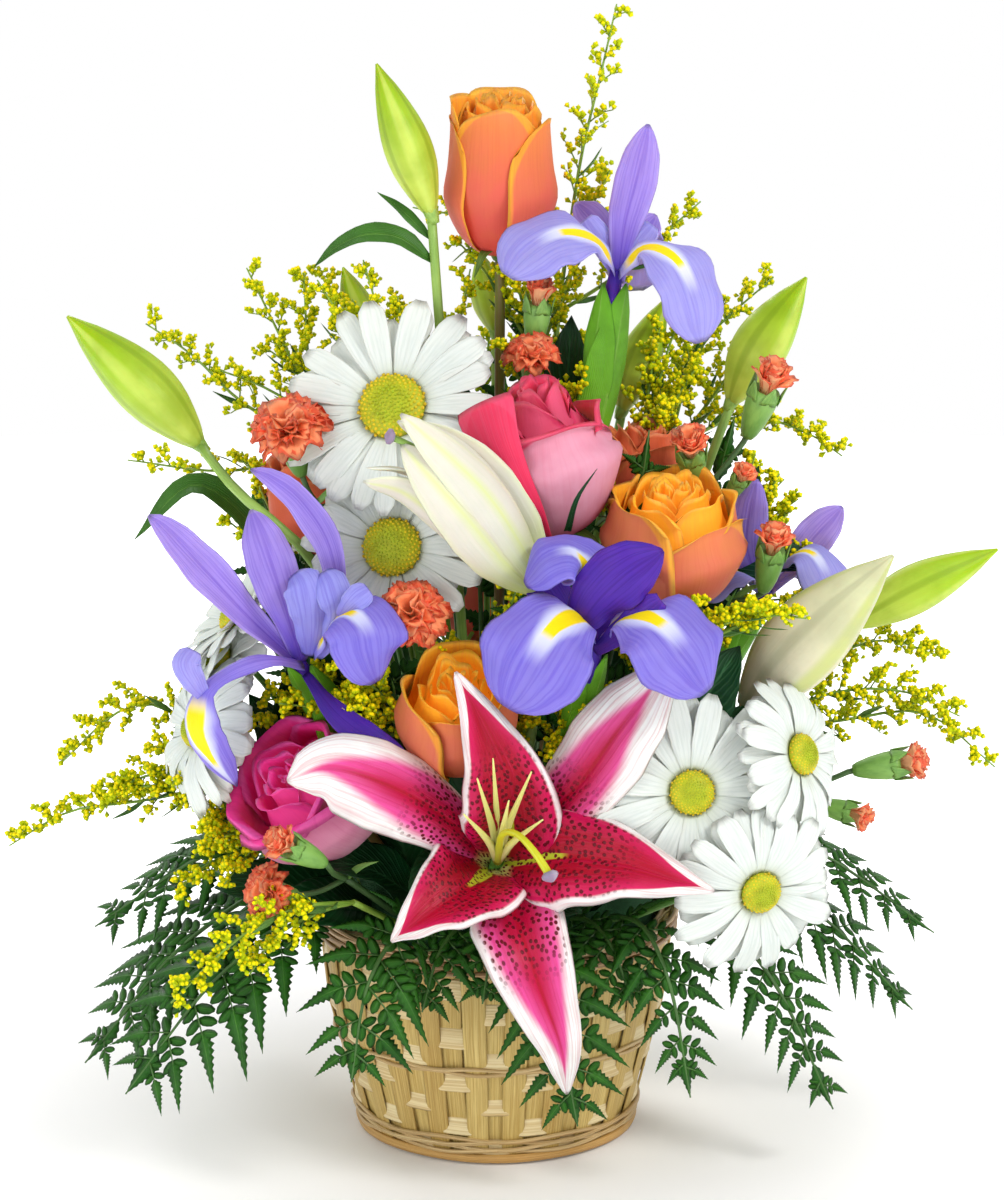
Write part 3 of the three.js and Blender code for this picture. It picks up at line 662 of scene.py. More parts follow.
def leaf_material(name, front, rear, rib, gloss, count=9.0, slant=1.2):
    """A green leaf: darker in front, paler behind, with a pale rib and pressed-in veins."""
    material, tree, shader = new_material(name, gloss, Specular_IOR_Level=0.3)
    net = place_group(tree, veins, Count=count, Slant=slant, Wander=0.1)
    base = mix(tree, carried(tree, "back"), colour(*front), colour(*rear))
    base = mix(tree, times(tree, carried(tree, "tone"), 0.55), base, colour(*rear))
    base = mix(tree, times(tree, net.outputs["Lines"], 0.22), base, colour(*rib))
    base = mix(tree, times(tree, net.outputs["Rib"], 0.6), base, colour(*rib))
    worn = place_group(tree, mottle, Colour=base, Dark=darker(front, 0.55), Scale=85.0, Amount=0.45)
    height = sum_of(tree, "ADD", net.outputs["Lines"], net.outputs["Rib"])
    paint(tree, shader, worn.outputs["Colour"], height, 0.6)
    return material


def stem_material(name, light, dark):
    """A green stem or branch with faint lengthways fibres."""
    material, tree, shader = new_material(name, 0.45)
    lines = place_group(tree, fibres, Stretch=9.0).outputs["Lines"]
    base = mix(tree, times(tree, lines, 0.6), colour(*light), colour(*dark))
    worn = place_group(tree, mottle, Colour=base, Dark=colour(*dark), Scale=50.0, Amount=0.5)
    paint(tree, shader, worn.outputs["Colour"], lines, 0.3, 0.0003)
    return material


def foot_of(place):
    """Where a stem's cut end stands in the foam: the more its head leans out, the further out."""
    reach = math.hypot(place[0], place[1])
    lean = math.degrees(math.atan2(reach, place[2] - FOOT_HEIGHT))
    share = FOOT_SPREAD * (lean / FOOT_LEAN) ** 0.7 / max(reach, 1)
    return (place[0] * share, place[1] * share, FOOT_HEIGHT)


def cut_end(place, foot=None):
    """The start of the stem to a place, at its own foot (x, y) in the foam if it has one."""
    return np.array([*foot, FOOT_HEIGHT]) if foot else np.array(foot_of(place))


fern_green = leaf_material(
    "fern_green", (32, 90, 16), (72, 132, 40), (78, 138, 44), 0.36, count=7.0, slant=2.2
)
fern_rib = stem_material("fern_rib", (74, 118, 52), (44, 70, 30))
greens = np.random.default_rng(21)


def saw_edge(rows, peak=0.3, bite=0.22):
    """Half-widths of a pointed blade whose edge is cut into forward teeth."""
    u = np.linspace(0, 1, rows)
    body = np.where(u < peak, np.sin(u / peak * math.pi / 2) * 0.75 + 0.25, 1 - (u - peak) / (1 - peak))
    return np.maximum(body, 0) * (1 - bite * (np.arange(rows) % 2))


LEAFLET = [(0, 0.45), (0.25, 0.92), (0.6, 1), (0.85, 0.75), (1, 0.25)]
STANDING = 200  # a frond whose tip is higher than this stands among the flowers and droops less


def fern_branch(start, direction, length, face, droop):
    """One side branch: pairs of oval leaflets that shorten along it, then a long saw-edged blade."""
    start, direction = np.array(start), unit(direction)
    end = start + direction * length + np.array([0, 0, -droop * length])
    bend = (start + end) / 2 + np.array([0, 0, droop * length * 0.35])
    line = smooth_line([start, bend, end], 21)
    tone = greens.uniform(0, 0.5)
    parts = [stalk(line[:12], [0.6, 0.35], sides=3, rows=4, finish=1)]
    pairs = max(2, round(length / 11))
    side = unit(np.cross(face, direction))
    for pair in range(pairs):
        share = pair / pairs
        spot = line[1 + int(share * 9)]
        reach = (3.0 + length * 0.17 * (1 - 0.35 * share)) * greens.uniform(0.9, 1.1)
        for sign in (-1, 1):
            lift = np.array(face) * greens.uniform(-0.25, 0.15)
            toward = unit(side * sign + direction * 0.55 + lift) * reach
            line_out = [spot, spot + toward]
            parts.append(petal(line_out, reach * 0.6, face, LEAFLET, cup=-0.3, rows=5, columns=3, tone=tone))
    outline = saw_edge(19, 0.2, 0.34)
    point = petal(line[7:], length * 0.2 + 2.5, face, outline, cup=-0.3, rows=19, columns=3, tone=tone)
    return [*parts, point]


def frond(name, line, width, pairs, nodes, face):
    """A whole frond along a line, widest a third of the way along its leafy part."""
    start, droop = (0.34, 0.1) if line[-1][2] > STANDING else (0.3, 0.25)
    rib = smooth_line(line, 40)
    along = unit(np.gradient(rib, axis=0))
    parts = [stalk(rib, [1.5, 1.2, 0.4], sides=6, rows=24, finish=1)]
    for pair in range(pairs):
        share = start + (0.97 - start) * (pair + 0.5) / pairs
        at = int(share * 39)
        taper = math.sin(math.pi * (0.32 + 0.62 * pair / pairs))
        side = unit(np.cross(face, along[at]))
        up = np.cross(along[at], side)
        for sign in (-1, 1):
            length = width / 2 * taper * greens.uniform(0.88, 1.08)
            toward = side * sign + along[at] * greens.uniform(0.45, 0.65) + up * greens.uniform(-0.1, 0.15)
            parts += fern_branch(rib[at] + along[at] * sign, toward, length, up, droop)
    parts.append(petal(rib[34:], width * 0.14, face, saw_edge(17), cup=-0.3, rows=17, columns=3))
    build(name, parts, [fern_green, fern_rib], "fern_green", *nodes)


FRONDS = [
    # name, line, width, pairs of branches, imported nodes, face
    ("frond_left", [(-46, -10, 108), (-92, -26, 132), (-148, -50, 106), (-196, -70, 52)], 92, 8,
     ["fern_left"], (0, -0.2, 1)),
    ("frond_left_upper", [(-44, 4, 112), (-90, 2, 146), (-140, -8, 138), (-196, -20, 104)], 84, 8, [],
     (0, -0.3, 1)),
    ("frond_left_lower", [(-40, -24, 106), (-80, -58, 124), (-128, -92, 104), (-172, -112, 52)], 96, 7, [],
     (0, -0.5, 1)),
    ("frond_front_left", [(-22, -50, 108), (-40, -92, 128), (-58, -122, 110), (-66, -134, 66)], 78, 6,
     ["fern_front_left"], (0.1, -0.8, 0.5)),
    ("frond_front", [(8, -46, 106), (16, -88, 124), (26, -112, 102), (38, -122, 40)], 72, 6, ["fern_front"],
     (0, -0.85, 0.4)),
    ("frond_right", [(52, -28, 104), (92, -50, 128), (130, -72, 96), (160, -84, 34)], 64, 8, ["fern_right"],
     (0, -0.4, 1)),
    ("frond_far_right", [(56, 6, 104), (98, 2, 132), (156, -4, 108), (206, -10, 58)], 74, 9,
     ["fern_far_right"], (0, -0.3, 1)),
    ("frond_right_upper", [(50, 20, 112), (100, 20, 150), (160, 14, 132), (218, 8, 92)], 74, 9, [],
     (0, -0.3, 1)),
    ("frond_front_right", [(34, -44, 106), (64, -84, 128), (80, -108, 106), (90, -122, 54)], 58, 7, [],
     (0.3, -0.8, 0.5)),
    ("frond_rear", [(0, 50, 104), (0, 96, 134), (-10, 140, 116), (-20, 168, 66)], 88, 7, ["fern_rear"],
     (0, 0.3, 1)),
    ("frond_rear_left", [(-36, 40, 106), (-70, 78, 134), (-112, 112, 112), (-146, 128, 62)], 86, 7, [],
     (0, 0.3, 1)),
    ("frond_rear_right", [(38, 40, 106), (74, 76, 134), (116, 108, 112), (150, 124, 62)], 86, 7, [],
     (0, 0.3, 1)),
    ("frond_rim_left", [(-10, -44, 106), (-14, -70, 122), (-26, -96, 116), (-34, -112, 92)], 56, 6, [],
     (0, -0.7, 0.7)),
    ("frond_rim_middle", [(4, -44, 106), (2, -70, 124), (-2, -96, 116), (-6, -112, 96)], 50, 5, [],
     (0, -0.7, 0.7)),
    ("frond_rim_right", [(20, -44, 106), (40, -70, 124), (54, -94, 118), (64, -106, 92)], 56, 6, [],
     (0, -0.7, 0.7)),
    ("frond_inner_right", [(30, -16, 104), (46, -30, 200), (62, -36, 280), (72, -36, 352)], 64, 8, [],
     (0, -1, 0.2)),
    ("frond_inner_left", [(-24, -16, 104), (-44, -26, 190), (-62, -30, 270), (-72, -26, 346)], 70, 8, [],
     (0, -1, 0.2)),
    ("frond_inner_front", [(6, -30, 104), (12, -44, 170), (16, -56, 230), (10, -62, 286)], 66, 6, [],
     (0, -1, 0.2)),
    ("frond_inner_top", [(0, 14, 104), (4, 16, 240), (10, 14, 340), (16, 10, 418)], 74, 9, [], (0, -1, 0.1)),
    ("frond_back_right", [(40, 20, 104), (72, 26, 200), (98, 26, 280), (116, 20, 350)], 78, 8, [],
     (0, -1, 0.2)),
    ("frond_back_left", [(-40, 20, 104), (-72, 26, 190), (-98, 26, 262), (-118, 20, 322)], 78, 8, [],
     (0, -1, 0.2)),
    ("frond_back_centre", [(0, 46, 104), (4, 76, 200), (6, 84, 290), (4, 78, 364)], 80, 7, [], (0, 1, 0.2)),
]
for fern in FRONDS:
    frond(*fern)


# ---- Salal leaves ---------------------------------------------------------------------------------
# Two broad leathery leaves with finely toothed edges stand low on the right, the darkest green of
# all, with veins that branch from a pale midrib. Smaller ones close the gaps between the flowers.

salal_green = leaf_material(
    "salal_green", (20, 62, 32), (56, 104, 58), (62, 112, 70), 0.3, count=5.0, slant=2.6
)
salal_rows = 25
salal_u = np.linspace(0, 1, salal_rows)
salal_outline = np.sin(math.pi * salal_u**0.8) ** 0.75 * (1 - 0.05 * (np.arange(salal_rows) % 2))
salal_parts = [
    stalk([(28, -22, FOOT_HEIGHT), (80, -56, 176), (82, -62, 186)], 1.4, rows=14, finish=1),
    petal(
        [(80, -58, 176), (84, -86, 214), (113, -78, 258)], 44, (-0.1, -1, 0.35), salal_outline,
        cup=0.35, keel=0.06, ruffle=1.5, waves=2.5, rows=salal_rows, columns=11,
    ),
    petal([(82, -62, 180), (96, -70, 200), (128, -64, 226)], 36, (0.2, -1, 0.3), salal_outline, cup=0.3,
          keel=0.06, ruffle=1.2, rows=salal_rows, columns=11, tone=0.4),
]
build("salal_spray", salal_parts, [salal_green, fern_rib], "leaf_green", "salal_leaf")
FILLER_LEAVES = [
    # line from the stem to the tip, and the way the leaf faces; dark leaves that close the gaps
    ([(-30, -44, 120), (-58, -74, 150), (-84, -92, 158)], (0, -0.8, 1)),
    ([(-16, -50, 120), (-26, -84, 150), (-40, -104, 146)], (0, -0.9, 0.8)),
    ([(10, -50, 120), (18, -86, 140), (40, -112, 140)], (0, -0.9, 0.8)),
    ([(40, -36, 120), (70, -70, 150), (90, -96, 156)], (0, -0.8, 1)),
    ([(40, -30, 130), (60, -48, 180), (66, -60, 226)], (0.2, -1, 0.2)),
    ([(-10, -40, 140), (-6, -60, 190), (-2, -70, 236)], (0, -1, 0.2)),
    ([(-40, -30, 130), (-52, -56, 180), (-66, -64, 224)], (-0.3, -1, 0.2)),
    ([(-60, -14, 130), (-96, -30, 170), (-112, -40, 214)], (-0.5, -0.8, 0.5)),
    ([(-50, -20, 150), (-70, -34, 200), (-78, -40, 250)], (-0.1, -1, 0.3)),
    ([(-60, -20, 150), (-92, -34, 196), (-98, -40, 240)], (-0.1, -1, 0.3)),
    ([(-66, -30, 120), (-104, -62, 138), (-132, -80, 142)], (-0.2, -0.9, 0.6)),
    ([(-56, -40, 118), (-82, -82, 134), (-106, -102, 138)], (-0.2, -0.9, 0.6)),
    ([(56, -10, 130), (92, -26, 176), (110, -34, 220)], (0.5, -0.8, 0.4)),
    ([(90, 0, 262), (122, -14, 286), (158, -16, 284)], (0, -0.8, 1)),
    ([(20, -30, 200), (30, -48, 250), (34, -54, 296)], (0, -1, 0.1)),
    ([(-20, 40, 130), (-40, 80, 176), (-44, 96, 224)], (-0.2, 1, 0.3)),
    ([(30, 44, 130), (46, 82, 180), (40, 100, 230)], (0.2, 1, 0.3)),
    ([(-50, 30, 130), (-86, 58, 170), (-110, 66, 206)], (-0.6, 0.8, 0.5)),
    ([(56, 30, 130), (92, 56, 170), (118, 62, 206)], (0.6, 0.8, 0.5)),
    ([(-10, 50, 120), (-16, 92, 150), (-20, 116, 176)], (0, 1, 0.6)),
    ([(20, 50, 120), (30, 96, 146), (44, 124, 160)], (0.2, 1, 0.6)),
    ([(-40, 40, 120), (-70, 80, 146), (-90, 108, 160)], (-0.5, 1, 0.6)),
    ([(50, 36, 120), (84, 70, 146), (106, 98, 160)], (0.5, 1, 0.6)),
    ([(0, 44, 150), (4, 70, 210), (2, 84, 262)], (0, 1, 0.2)),
    ([(-30, 40, 150), (-50, 66, 206), (-60, 76, 256)], (-0.3, 1, 0.2)),
    ([(36, 38, 150), (58, 64, 206), (66, 74, 252)], (0.3, 1, 0.2)),
    ([(60, 10, 130), (100, 24, 164), (128, 28, 196)], (0.8, 0.4, 0.5)),
    ([(-60, 6, 130), (-100, 16, 160), (-124, 20, 190)], (-0.8, 0.4, 0.5)),
    ([(-14, 46, 120), (-12, 84, 136), (-30, 120, 128)], (0, 0.8, 1)),
    ([(60, 24, 120), (96, 44, 138), (124, 56, 128)], (0.3, 0.3, 1)),
    ([(-56, 28, 120), (-92, 50, 138), (-120, 62, 130)], (-0.3, 0.3, 1)),
    ([(46, 0, 190), (60, -16, 262), (62, -22, 316)], (0.1, -1, 0.1)),
    ([(-70, -14, 150), (-98, -30, 196), (-118, -32, 224)], (-0.2, -1, 0.2)),
    ([(-60, -24, 180), (-84, -40, 230), (-92, -46, 268)], (-0.1, -1, 0.2)),
    ([(0, 30, 260), (10, 44, 310), (8, 48, 352)], (0, 1, 0.1)),
    ([(-20, 30, 250), (-36, 48, 300), (-40, 52, 340)], (-0.2, 1, 0.1)),
    ([(30, 28, 250), (50, 44, 300), (58, 48, 340)], (0.2, 1, 0.1)),
    ([(-8, 10, 280), (-14, 0, 330), (-26, -4, 384)], (0, -1, 0.1)),
    ([(20, 6, 300), (32, -2, 350), (36, -4, 402)], (0, -1, 0.1)),
    ([(80, 4, 230), (110, -6, 290), (126, -6, 330)], (0.2, -1, 0.2)),
    ([(-70, 4, 230), (-100, -8, 270), (-112, -10, 306)], (-0.2, -1, 0.2)),
]
filler_parts = []
for line, face in FILLER_LEAVES:
    base = np.array(line[0], float)
    filler_parts.append(stalk([foot_of(base * [1, 1, 1.2]), base], 1.2, sides=5, rows=5, finish=1))
    tone = greens.uniform(0, 0.4)
    filler_parts.append(petal(
        line, 33, face, salal_outline[::2], cup=0.4, keel=0.06, ruffle=1.2, rows=13, columns=9, tone=tone
    ))
build("filler_leaves", filler_parts, [salal_green, fern_rib], "leaf_green")


# ---- Lilies: the open bloom -----------------------------------------------------------------------
# A stargazer lily with six thick tepals, three broad and three narrow, curling back at their edges.
# Crimson hearts fade to white margins, with raised maroon spots, and six filaments ring the pistil.

SPOTS_ALONG, SPOTS_ACROSS = 34.0, 15.0

# Spots set over a petal, fading out towards its tip and edge.
spots, taken, given = new_group("spots", {"Size": 0.3, "Reach": 0.6}, {"Spots": "NodeSocketFloat"})
net = place_group(spots, veins)
flat = unrolled(spots)
lengthways, sideways = times(spots, flat["X"], SPOTS_ALONG), times(spots, flat["Y"], SPOTS_ACROSS)
where = join_up(spots, "ShaderNodeCombineXYZ", {"X": lengthways, "Y": sideways}).outputs[0]
inputs = {"Vector": where, "Scale": 1.0, "Randomness": 0.8}
cells = join_up(spots, "ShaderNodeTexVoronoi", inputs, voronoi_dimensions="2D").outputs["Distance"]
near = sum_of(spots, "DIVIDE", cells, taken.outputs["Size"])
dots = fade(spots, near, 0.75, 1.1, 1.0, 0.0)
far = sum_of(spots, "SUBTRACT", net.outputs["Along"], taken.outputs["Reach"])
dots = times(spots, dots, fade(spots, far, -0.12, 0.06, 1.0, 0.0))
dots = times(spots, dots, fade(spots, net.outputs["Edge"], 0.76, 0.88, 1.0, 0.0))
spots.links.new(dots, given.inputs["Spots"])


def petal_material(name, heart, body, edge, rear, gloss=0.5, heart_reach=(0.0, 0.5), edge_band=(0.7, 1.0),
                   vein=None, vein_share=0.3, count=16.0, slant=0.0, rib=None, rib_share=0.5, spot=None,
                   spot_reach=0.6, base=None, base_reach=0.2, tip_pull=0.0, depth=0.00025, patch=None,
                   patch_place=(0.1, 0.4, 0.25), halo=None, uneven=0.25, rear_edge=None, rear_base=None,
                   rear_rib=0.0, blush=None, tip_power=3.4, rear_fade=0.0, glow=0.0):
    """A petal: its heart colour fades along it to its body colour, and towards the rim to its edge.

    It can have streaks along its veins, a rib, spots, a base colour, a blush inside its edge, and a
    patch with a paler halo at a place along it. tip_pull draws the edge colour in towards the tip,
    and glow stands in for the light that comes through it. Its back has its own colour, which can
    change at the rim, at the base, along the rib and towards the tip.
    """
    material, tree, shader = new_material(
        name, gloss, Specular_IOR_Level=0.22, Subsurface_Weight=0.12, Emission_Color=colour(*body),
        Emission_Strength=glow,
    )
    net = place_group(tree, veins, Count=count, Slant=slant, Wander=0.06)
    along, off = net.outputs["Along"], net.outputs["Edge"]
    shade = mix(tree, fade(tree, along, *heart_reach), colour(*heart), colour(*body))
    bent = sum_of(tree, "ADD", off, times(tree, sum_of(tree, "POWER", along, tip_power), tip_pull))
    if blush:
        shade = mix(tree, fade(tree, bent, edge_band[0] - 0.45, edge_band[0] + 0.1), shade, colour(*blush))
    shade = mix(tree, fade(tree, bent, *edge_band), shade, colour(*edge))
    behind = carried(tree, "back")
    back_rim, back_base = colour(*(rear_edge or rear)), colour(*(rear_base or rear))
    reverse = mix(tree, fade(tree, bent, *edge_band), colour(*rear), back_rim)
    reverse = mix(tree, fade(tree, along, 0.4, 1.05, 0.0, rear_fade), reverse, back_rim)
    reverse = mix(tree, fade(tree, along, 0.05, 0.45, 1.0, 0.0), reverse, back_base)
    if vein:
        shade = mix(tree, times(tree, net.outputs["Streaks"], vein_share), shade, colour(*vein))
    if rib:
        ridge = times(tree, net.outputs["Rib"], fade(tree, along, 0.6, 0.9, rib_share, 0.0))
        shade = mix(tree, ridge, shade, colour(*rib))
    if base:
        shade = mix(tree, fade(tree, along, base_reach * 0.3, base_reach, 1.0, 0.0), shade, colour(*base))
    height = times(tree, net.outputs["Streaks"], 0.5)
    if rear_rib:
        reverse = mix(tree, fade(tree, off, 0.0, 0.3, rear_rib, 0.0), reverse, colour(*rib))
    shade = mix(tree, times(tree, behind, 0.92), shade, reverse)
    if vein:
        shade = mix(tree, times(tree, net.outputs["Streaks"], vein_share * 0.7), shade, colour(*vein))
    deep = darker(body, 0.62)
    shade = mix(tree, times(tree, carried(tree, "tone"), 0.45), shade, deep)
    shade = place_group(tree, mottle, Colour=shade, Dark=deep, Scale=70.0, Amount=uneven).outputs["Colour"]
    front = fade(tree, behind, 0.3, 0.7, 1.0, 0.0)
    first, last, wide = patch_place
    marks = [(halo, first, last + 0.1, wide * 1.4, 0.45)] if halo else []
    marks += [(patch, first, last, wide, 0.14)] if patch else []
    for tint, first, last, wide, soft in marks:
        low = fade(tree, along, first - 0.05, first + 0.05)
        taper = fade(tree, along, first, last, wide, wide * 0.25)
        reach = sum_of(tree, "DIVIDE", off, taper)
        inside = times(tree, fade(tree, reach, 1 - soft, 1 + soft, 1.0, 0.0), front)
        high = fade(tree, along, last - soft * 0.2, last + soft * 0.2, 1.0, 0.0)
        share = times(tree, times(tree, low, high), inside)
        shade = mix(tree, share, shade, colour(*tint))
    if spot:
        dots = times(tree, place_group(tree, spots, Reach=spot_reach).outputs["Spots"], front)
        shade = mix(tree, dots, shade, colour(*spot))
        height = sum_of(tree, "ADD", height, times(tree, dots, 1.5))
    paint(tree, shader, shade, height, distance=depth)
    return material


stem_green = stem_material("stem_green", (96, 150, 58), (58, 104, 40))
pale_stem = stem_material("pale_stem", (152, 186, 88), (104, 146, 60))
STARGAZER = dict(
    gloss=0.4, vein=(192, 20, 74), vein_share=0.25, rib=(166, 8, 40), base=(206, 214, 120), base_reach=0.1,
    spot=(92, 2, 28), uneven=0.12, depth=0.0008,
)
# The inner tepals' narrower white margins are their own, but their crimson, darker than the outer tepals', is
# partly painted shade.
lily_pink = petal_material(
    "lily_pink", (150, 5, 36), (164, 6, 42), (240, 236, 232), (240, 206, 214), heart_reach=(0.2, 0.8),
    edge_band=(0.8, 0.87), blush=(204, 28, 88), spot_reach=0.66, tip_pull=1.1, tip_power=6.5,
    patch=(176, 186, 50), patch_place=(0.0, 0.36, 0.2), rib_share=0.5, **STARGAZER,
)
lily_outer_pink = petal_material(
    "lily_outer_pink", (168, 10, 52), (190, 16, 70), (240, 238, 234), (240, 214, 220), heart_reach=(0.2, 0.8),
    edge_band=(0.7, 0.98), blush=(226, 76, 150), spot_reach=0.5, tip_pull=1.0, tip_power=2.5, rib_share=0.9,
    **STARGAZER,
)
filament_green = petal_material(
    "filament", (226, 222, 150), (222, 220, 130), (232, 226, 150), (226, 222, 150), count=2.0, uneven=0.1
)
style_green = petal_material(
    "style", (196, 200, 70), (190, 190, 40), (196, 200, 70), (196, 200, 70), count=2.0, uneven=0.1
)
stigma_grey = petal_material("stigma", (150, 138, 160), (138, 124, 150), (170, 158, 176), (150, 138, 160))
BROAD = [(0, 0.35), (0.1, 0.7), (0.22, 0.96), (0.32, 1), (0.5, 0.84), (0.7, 0.55), (0.87, 0.27), (1, 0.03)]
NARROW = [(0, 0.38), (0.12, 0.72), (0.26, 1), (0.45, 0.88), (0.7, 0.58), (0.88, 0.3), (1, 0.03)]
SPOON = [(0, 0.32), (0.2, 0.6), (0.42, 0.88), (0.62, 1), (0.8, 0.86), (0.93, 0.48), (1, 0.05)]
OPEN_TEPALS = [
    # line from the throat, width, face, outline, cup, ruffle, roll, phase, finish
    ([(2, -86, 156), (36, -106, 197), (54, -112, 224), (70, -114, 246), (77, -112, 257)], 42,
     (-0.2, -1, 0.35), SPOON, 0.3, 1.2, 0.35, 0.5, 5),
    ([(-2, -86, 157), (-25, -106, 185), (-50, -118, 203), (-75, -124, 212), (-94, -125, 206)], 44,
     (0.15, -1, 0.55), SPOON, -0.25, 0.9, 0.25, 2.0, 5),
    ([(2, -90, 155), (12, -126, 134), (21, -136, 110), (30, -133, 82), (33, -123, 56)], 46, (0.1, -1, 0.35),
     NARROW, 0.4, 0.9, 0.3, 4.0, 5),
    ([(1, -86, 156), (7, -110, 180), (4, -122, 206), (-6, -126, 233), (-18, -122, 256)], 53, (0.05, -1, 0.2),
     BROAD, 0.75, 2.4, 0.5, 1.0, 0),
    ([(2, -88, 157), (29, -114, 168), (56, -128, 169), (79, -133, 163), (99, -134, 157)], 52,
     (-0.1, -1, 0.55), BROAD, 0.4, 2.2, 0.45, 3.0, 0),
    ([(-2, -90, 154), (-12, -116, 155), (-28, -130, 148), (-47, -140, 135)], 58, (0.05, -0.8, 0.75),
     BROAD, 0.95, 2.2, 0.35, 5.0, 0),
]
lily_stem = [foot_of((0, -84, 160)), (-1, -62, 132), (0, -82, 154), (1, -90, 158)]
lily_parts = [stalk(lily_stem, [2.8, 2.8, 3.4], finish=1)]
for line, width, face, outline, cup, ruffle, roll, phase, finish in OPEN_TEPALS:
    lily_parts.append(petal(
        line, width, face, outline, cup=cup, ruffle=ruffle, waves=4.2, roll=roll, keel=0.07, thick=1.1,
        rows=44, columns=25, phase=phase, finish=finish,
    ))
FILAMENT_TIPS = [
    (-8, -150, 214), (-1, -146, 222), (16, -150, 217), (-14, -155, 199), (21, -157, 197), (6, -158, 206)
]
for x, y, z in FILAMENT_TIPS:
    belly = (x * 0.32 + 1, -114 + 0.2 * (y + 150), 158 + (z - 158) * 0.42)
    lily_parts.append(stalk([(1, -90, 158), belly, (x, y, z)], [2.1, 1.5, 0.35], sides=8, rows=12, finish=2))
lily_parts.append(stalk(
    [(1, -92, 159), (3, -126, 181), (10, -146, 187), (18, -156, 181), (24, -158, 172)],
    [2.4, 1.7, 1.5, 1.5, 1.9], sides=10, rows=22, finish=4,
))
lily_parts.append(stalk(
    [(23.6, -158, 173.5), (25.5, -159.4, 169)], [2.2, 3.7, 3.8, 2.6, 0.6], sides=18, rows=9, finish=3,
    lobes=3, depth=0.1,
))
lily_paint = [lily_pink, stem_green, filament_green, stigma_grey, style_green, lily_outer_pink]
build("lily_stargazer", lily_parts, lily_paint, "lily_pink", "lily_open")


# ---- Lilies: the half-open bloom and the buds -----------------------------------------------------
# A white lily starts to part at its tips, with a yellow-green stripe down each tepal. The buds are
# still closed, each a long green spindle of three ribbed outer tepals on a jointed green stem.

lily_cream = petal_material(
    "lily_cream", (210, 216, 158), (218, 215, 200), (224, 223, 212), (216, 207, 192), gloss=0.42,
    rear_rib=0.6, heart_reach=(0.0, 0.3), edge_band=(0.6, 1.0), vein=(206, 208, 180), vein_share=0.4,
    rib=(208, 216, 120), rib_share=0.8, base=(180, 200, 98), base_reach=0.2, rear_base=(190, 204, 120),
    rear_edge=(222, 226, 178), count=9.0, uneven=0.1, depth=0.0005,
)
POD = [(0, 0.2), (0.1, 0.55), (0.28, 0.93), (0.45, 1), (0.65, 0.86), (0.82, 0.6), (0.93, 0.33), (1, 0.05)]
half_open_stem = [foot_of((21, -76, 280)), (14, -52, 190), (24, -74, 276), (20, -80, 286)]
half_open = [stalk(half_open_stem, [2.8, 2.8, 3.2], finish=1)]
WHITE_TEPALS = [
    ([(21, -80, 285), (12, -82, 308), (-5, -86, 335), (-24, -92, 355), (-44, -98, 366)], 30, (0.3, 1, 0.6)),
    ([(21, -81, 285), (2, -84, 300), (-20, -92, 326), (-40, -100, 342), (-58, -106, 346)], 30, (1, 0.5, 1)),
    ([(22, -82, 285), (12, -98, 308), (-2, -108, 332), (-18, -114, 350), (-42, -116, 372)], 28,
     (-0.5, 1, -0.35)),
    ([(20, -83, 284), (4, -100, 302), (-14, -112, 326), (-30, -116, 345), (-42, -112, 358)], 33,
     (-0.1, 1, -0.1)),
    ([(20, -82, 284), (-2, -94, 300), (-24, -104, 322), (-42, -108, 336), (-59, -112, 341)], 27,
     (0.45, 1, 0.4)),
    ([(21, -80, 286), (16, -84, 310), (2, -92, 334), (-14, -98, 352), (-34, -100, 366)], 26, (-1, 0.6, -0.4)),
]
for line, width, face in WHITE_TEPALS:
    half_open.append(petal(
        line, width, face, POD, cup=[1.1, 1.0, 0.7, 0.2], ruffle=0.6, waves=1.5, thick=1.2, rows=30,
        columns=15,
    ))
half_open.append(stalk([(-28, -106, 350), (-38, -110, 357), (-46, -113, 361)], 1.5, rows=6, finish=1))
half_open.append(stalk([(-45, -113, 361), (-49, -114, 362)], [2, 3.6, 3.6, 1], sides=12, finish=2))
build("lily_half_open", half_open, [lily_cream, pale_stem, stigma_grey], "lily_white", "lily_white")


BUD_RIBS = 3
BUD_BOW = 3.0  # how far a bud's stem bows back when it has no bends of its own


def bud_material(name, green, pale, ridge):
    """A closed lily bud: green in its grooves, paler along each tepal's rib, palest at its base."""
    material, tree, shader = new_material(name, 0.42, Specular_IOR_Level=0.25, Subsurface_Weight=0.1)
    flat = unrolled(tree)
    turn = sum_of(tree, "COSINE", times(tree, flat["Y"], 6.2832 * BUD_RIBS))
    base = mix(tree, fade(tree, flat["X"], 0.05, 0.9), colour(*pale), colour(*green))
    base = mix(tree, times(tree, fade(tree, turn, 0.55, 1.0), 0.7), base, colour(*ridge))
    base = mix(tree, fade(tree, turn, -1.0, -0.75, 0.45, 0.0), base, colour(*(c * 0.72 for c in green)))
    dull = colour(*(c * 0.8 for c in green))
    worn = place_group(tree, mottle, Colour=base, Dark=dull, Scale=60.0, Amount=0.4).outputs["Colour"]
    shade = mix(tree, times(tree, carried(tree, "tone"), 0.5), worn, colour(*green))
    paint(tree, shader, shade, place_group(tree, fibres, Stretch=40.0).outputs["Lines"], 0.25, 0.0003)
    return material


bud_green = bud_material("bud_green", (142, 182, 10), (186, 206, 84), (194, 212, 100))
bud_cream = bud_material("bud_cream", (198, 202, 160), (214, 204, 184), (172, 186, 76))
leaf_bright = leaf_material(
    "leaf_bright", (58, 108, 34), (96, 146, 60), (112, 160, 70), 0.42, count=9.0, slant=0.0
)
BUD_SHAPE = [0.25, 0.5, 0.68, 0.84, 0.95, 1.0, 1.0, 0.95, 0.86, 0.74, 0.6, 0.44, 0.24, 0.05]


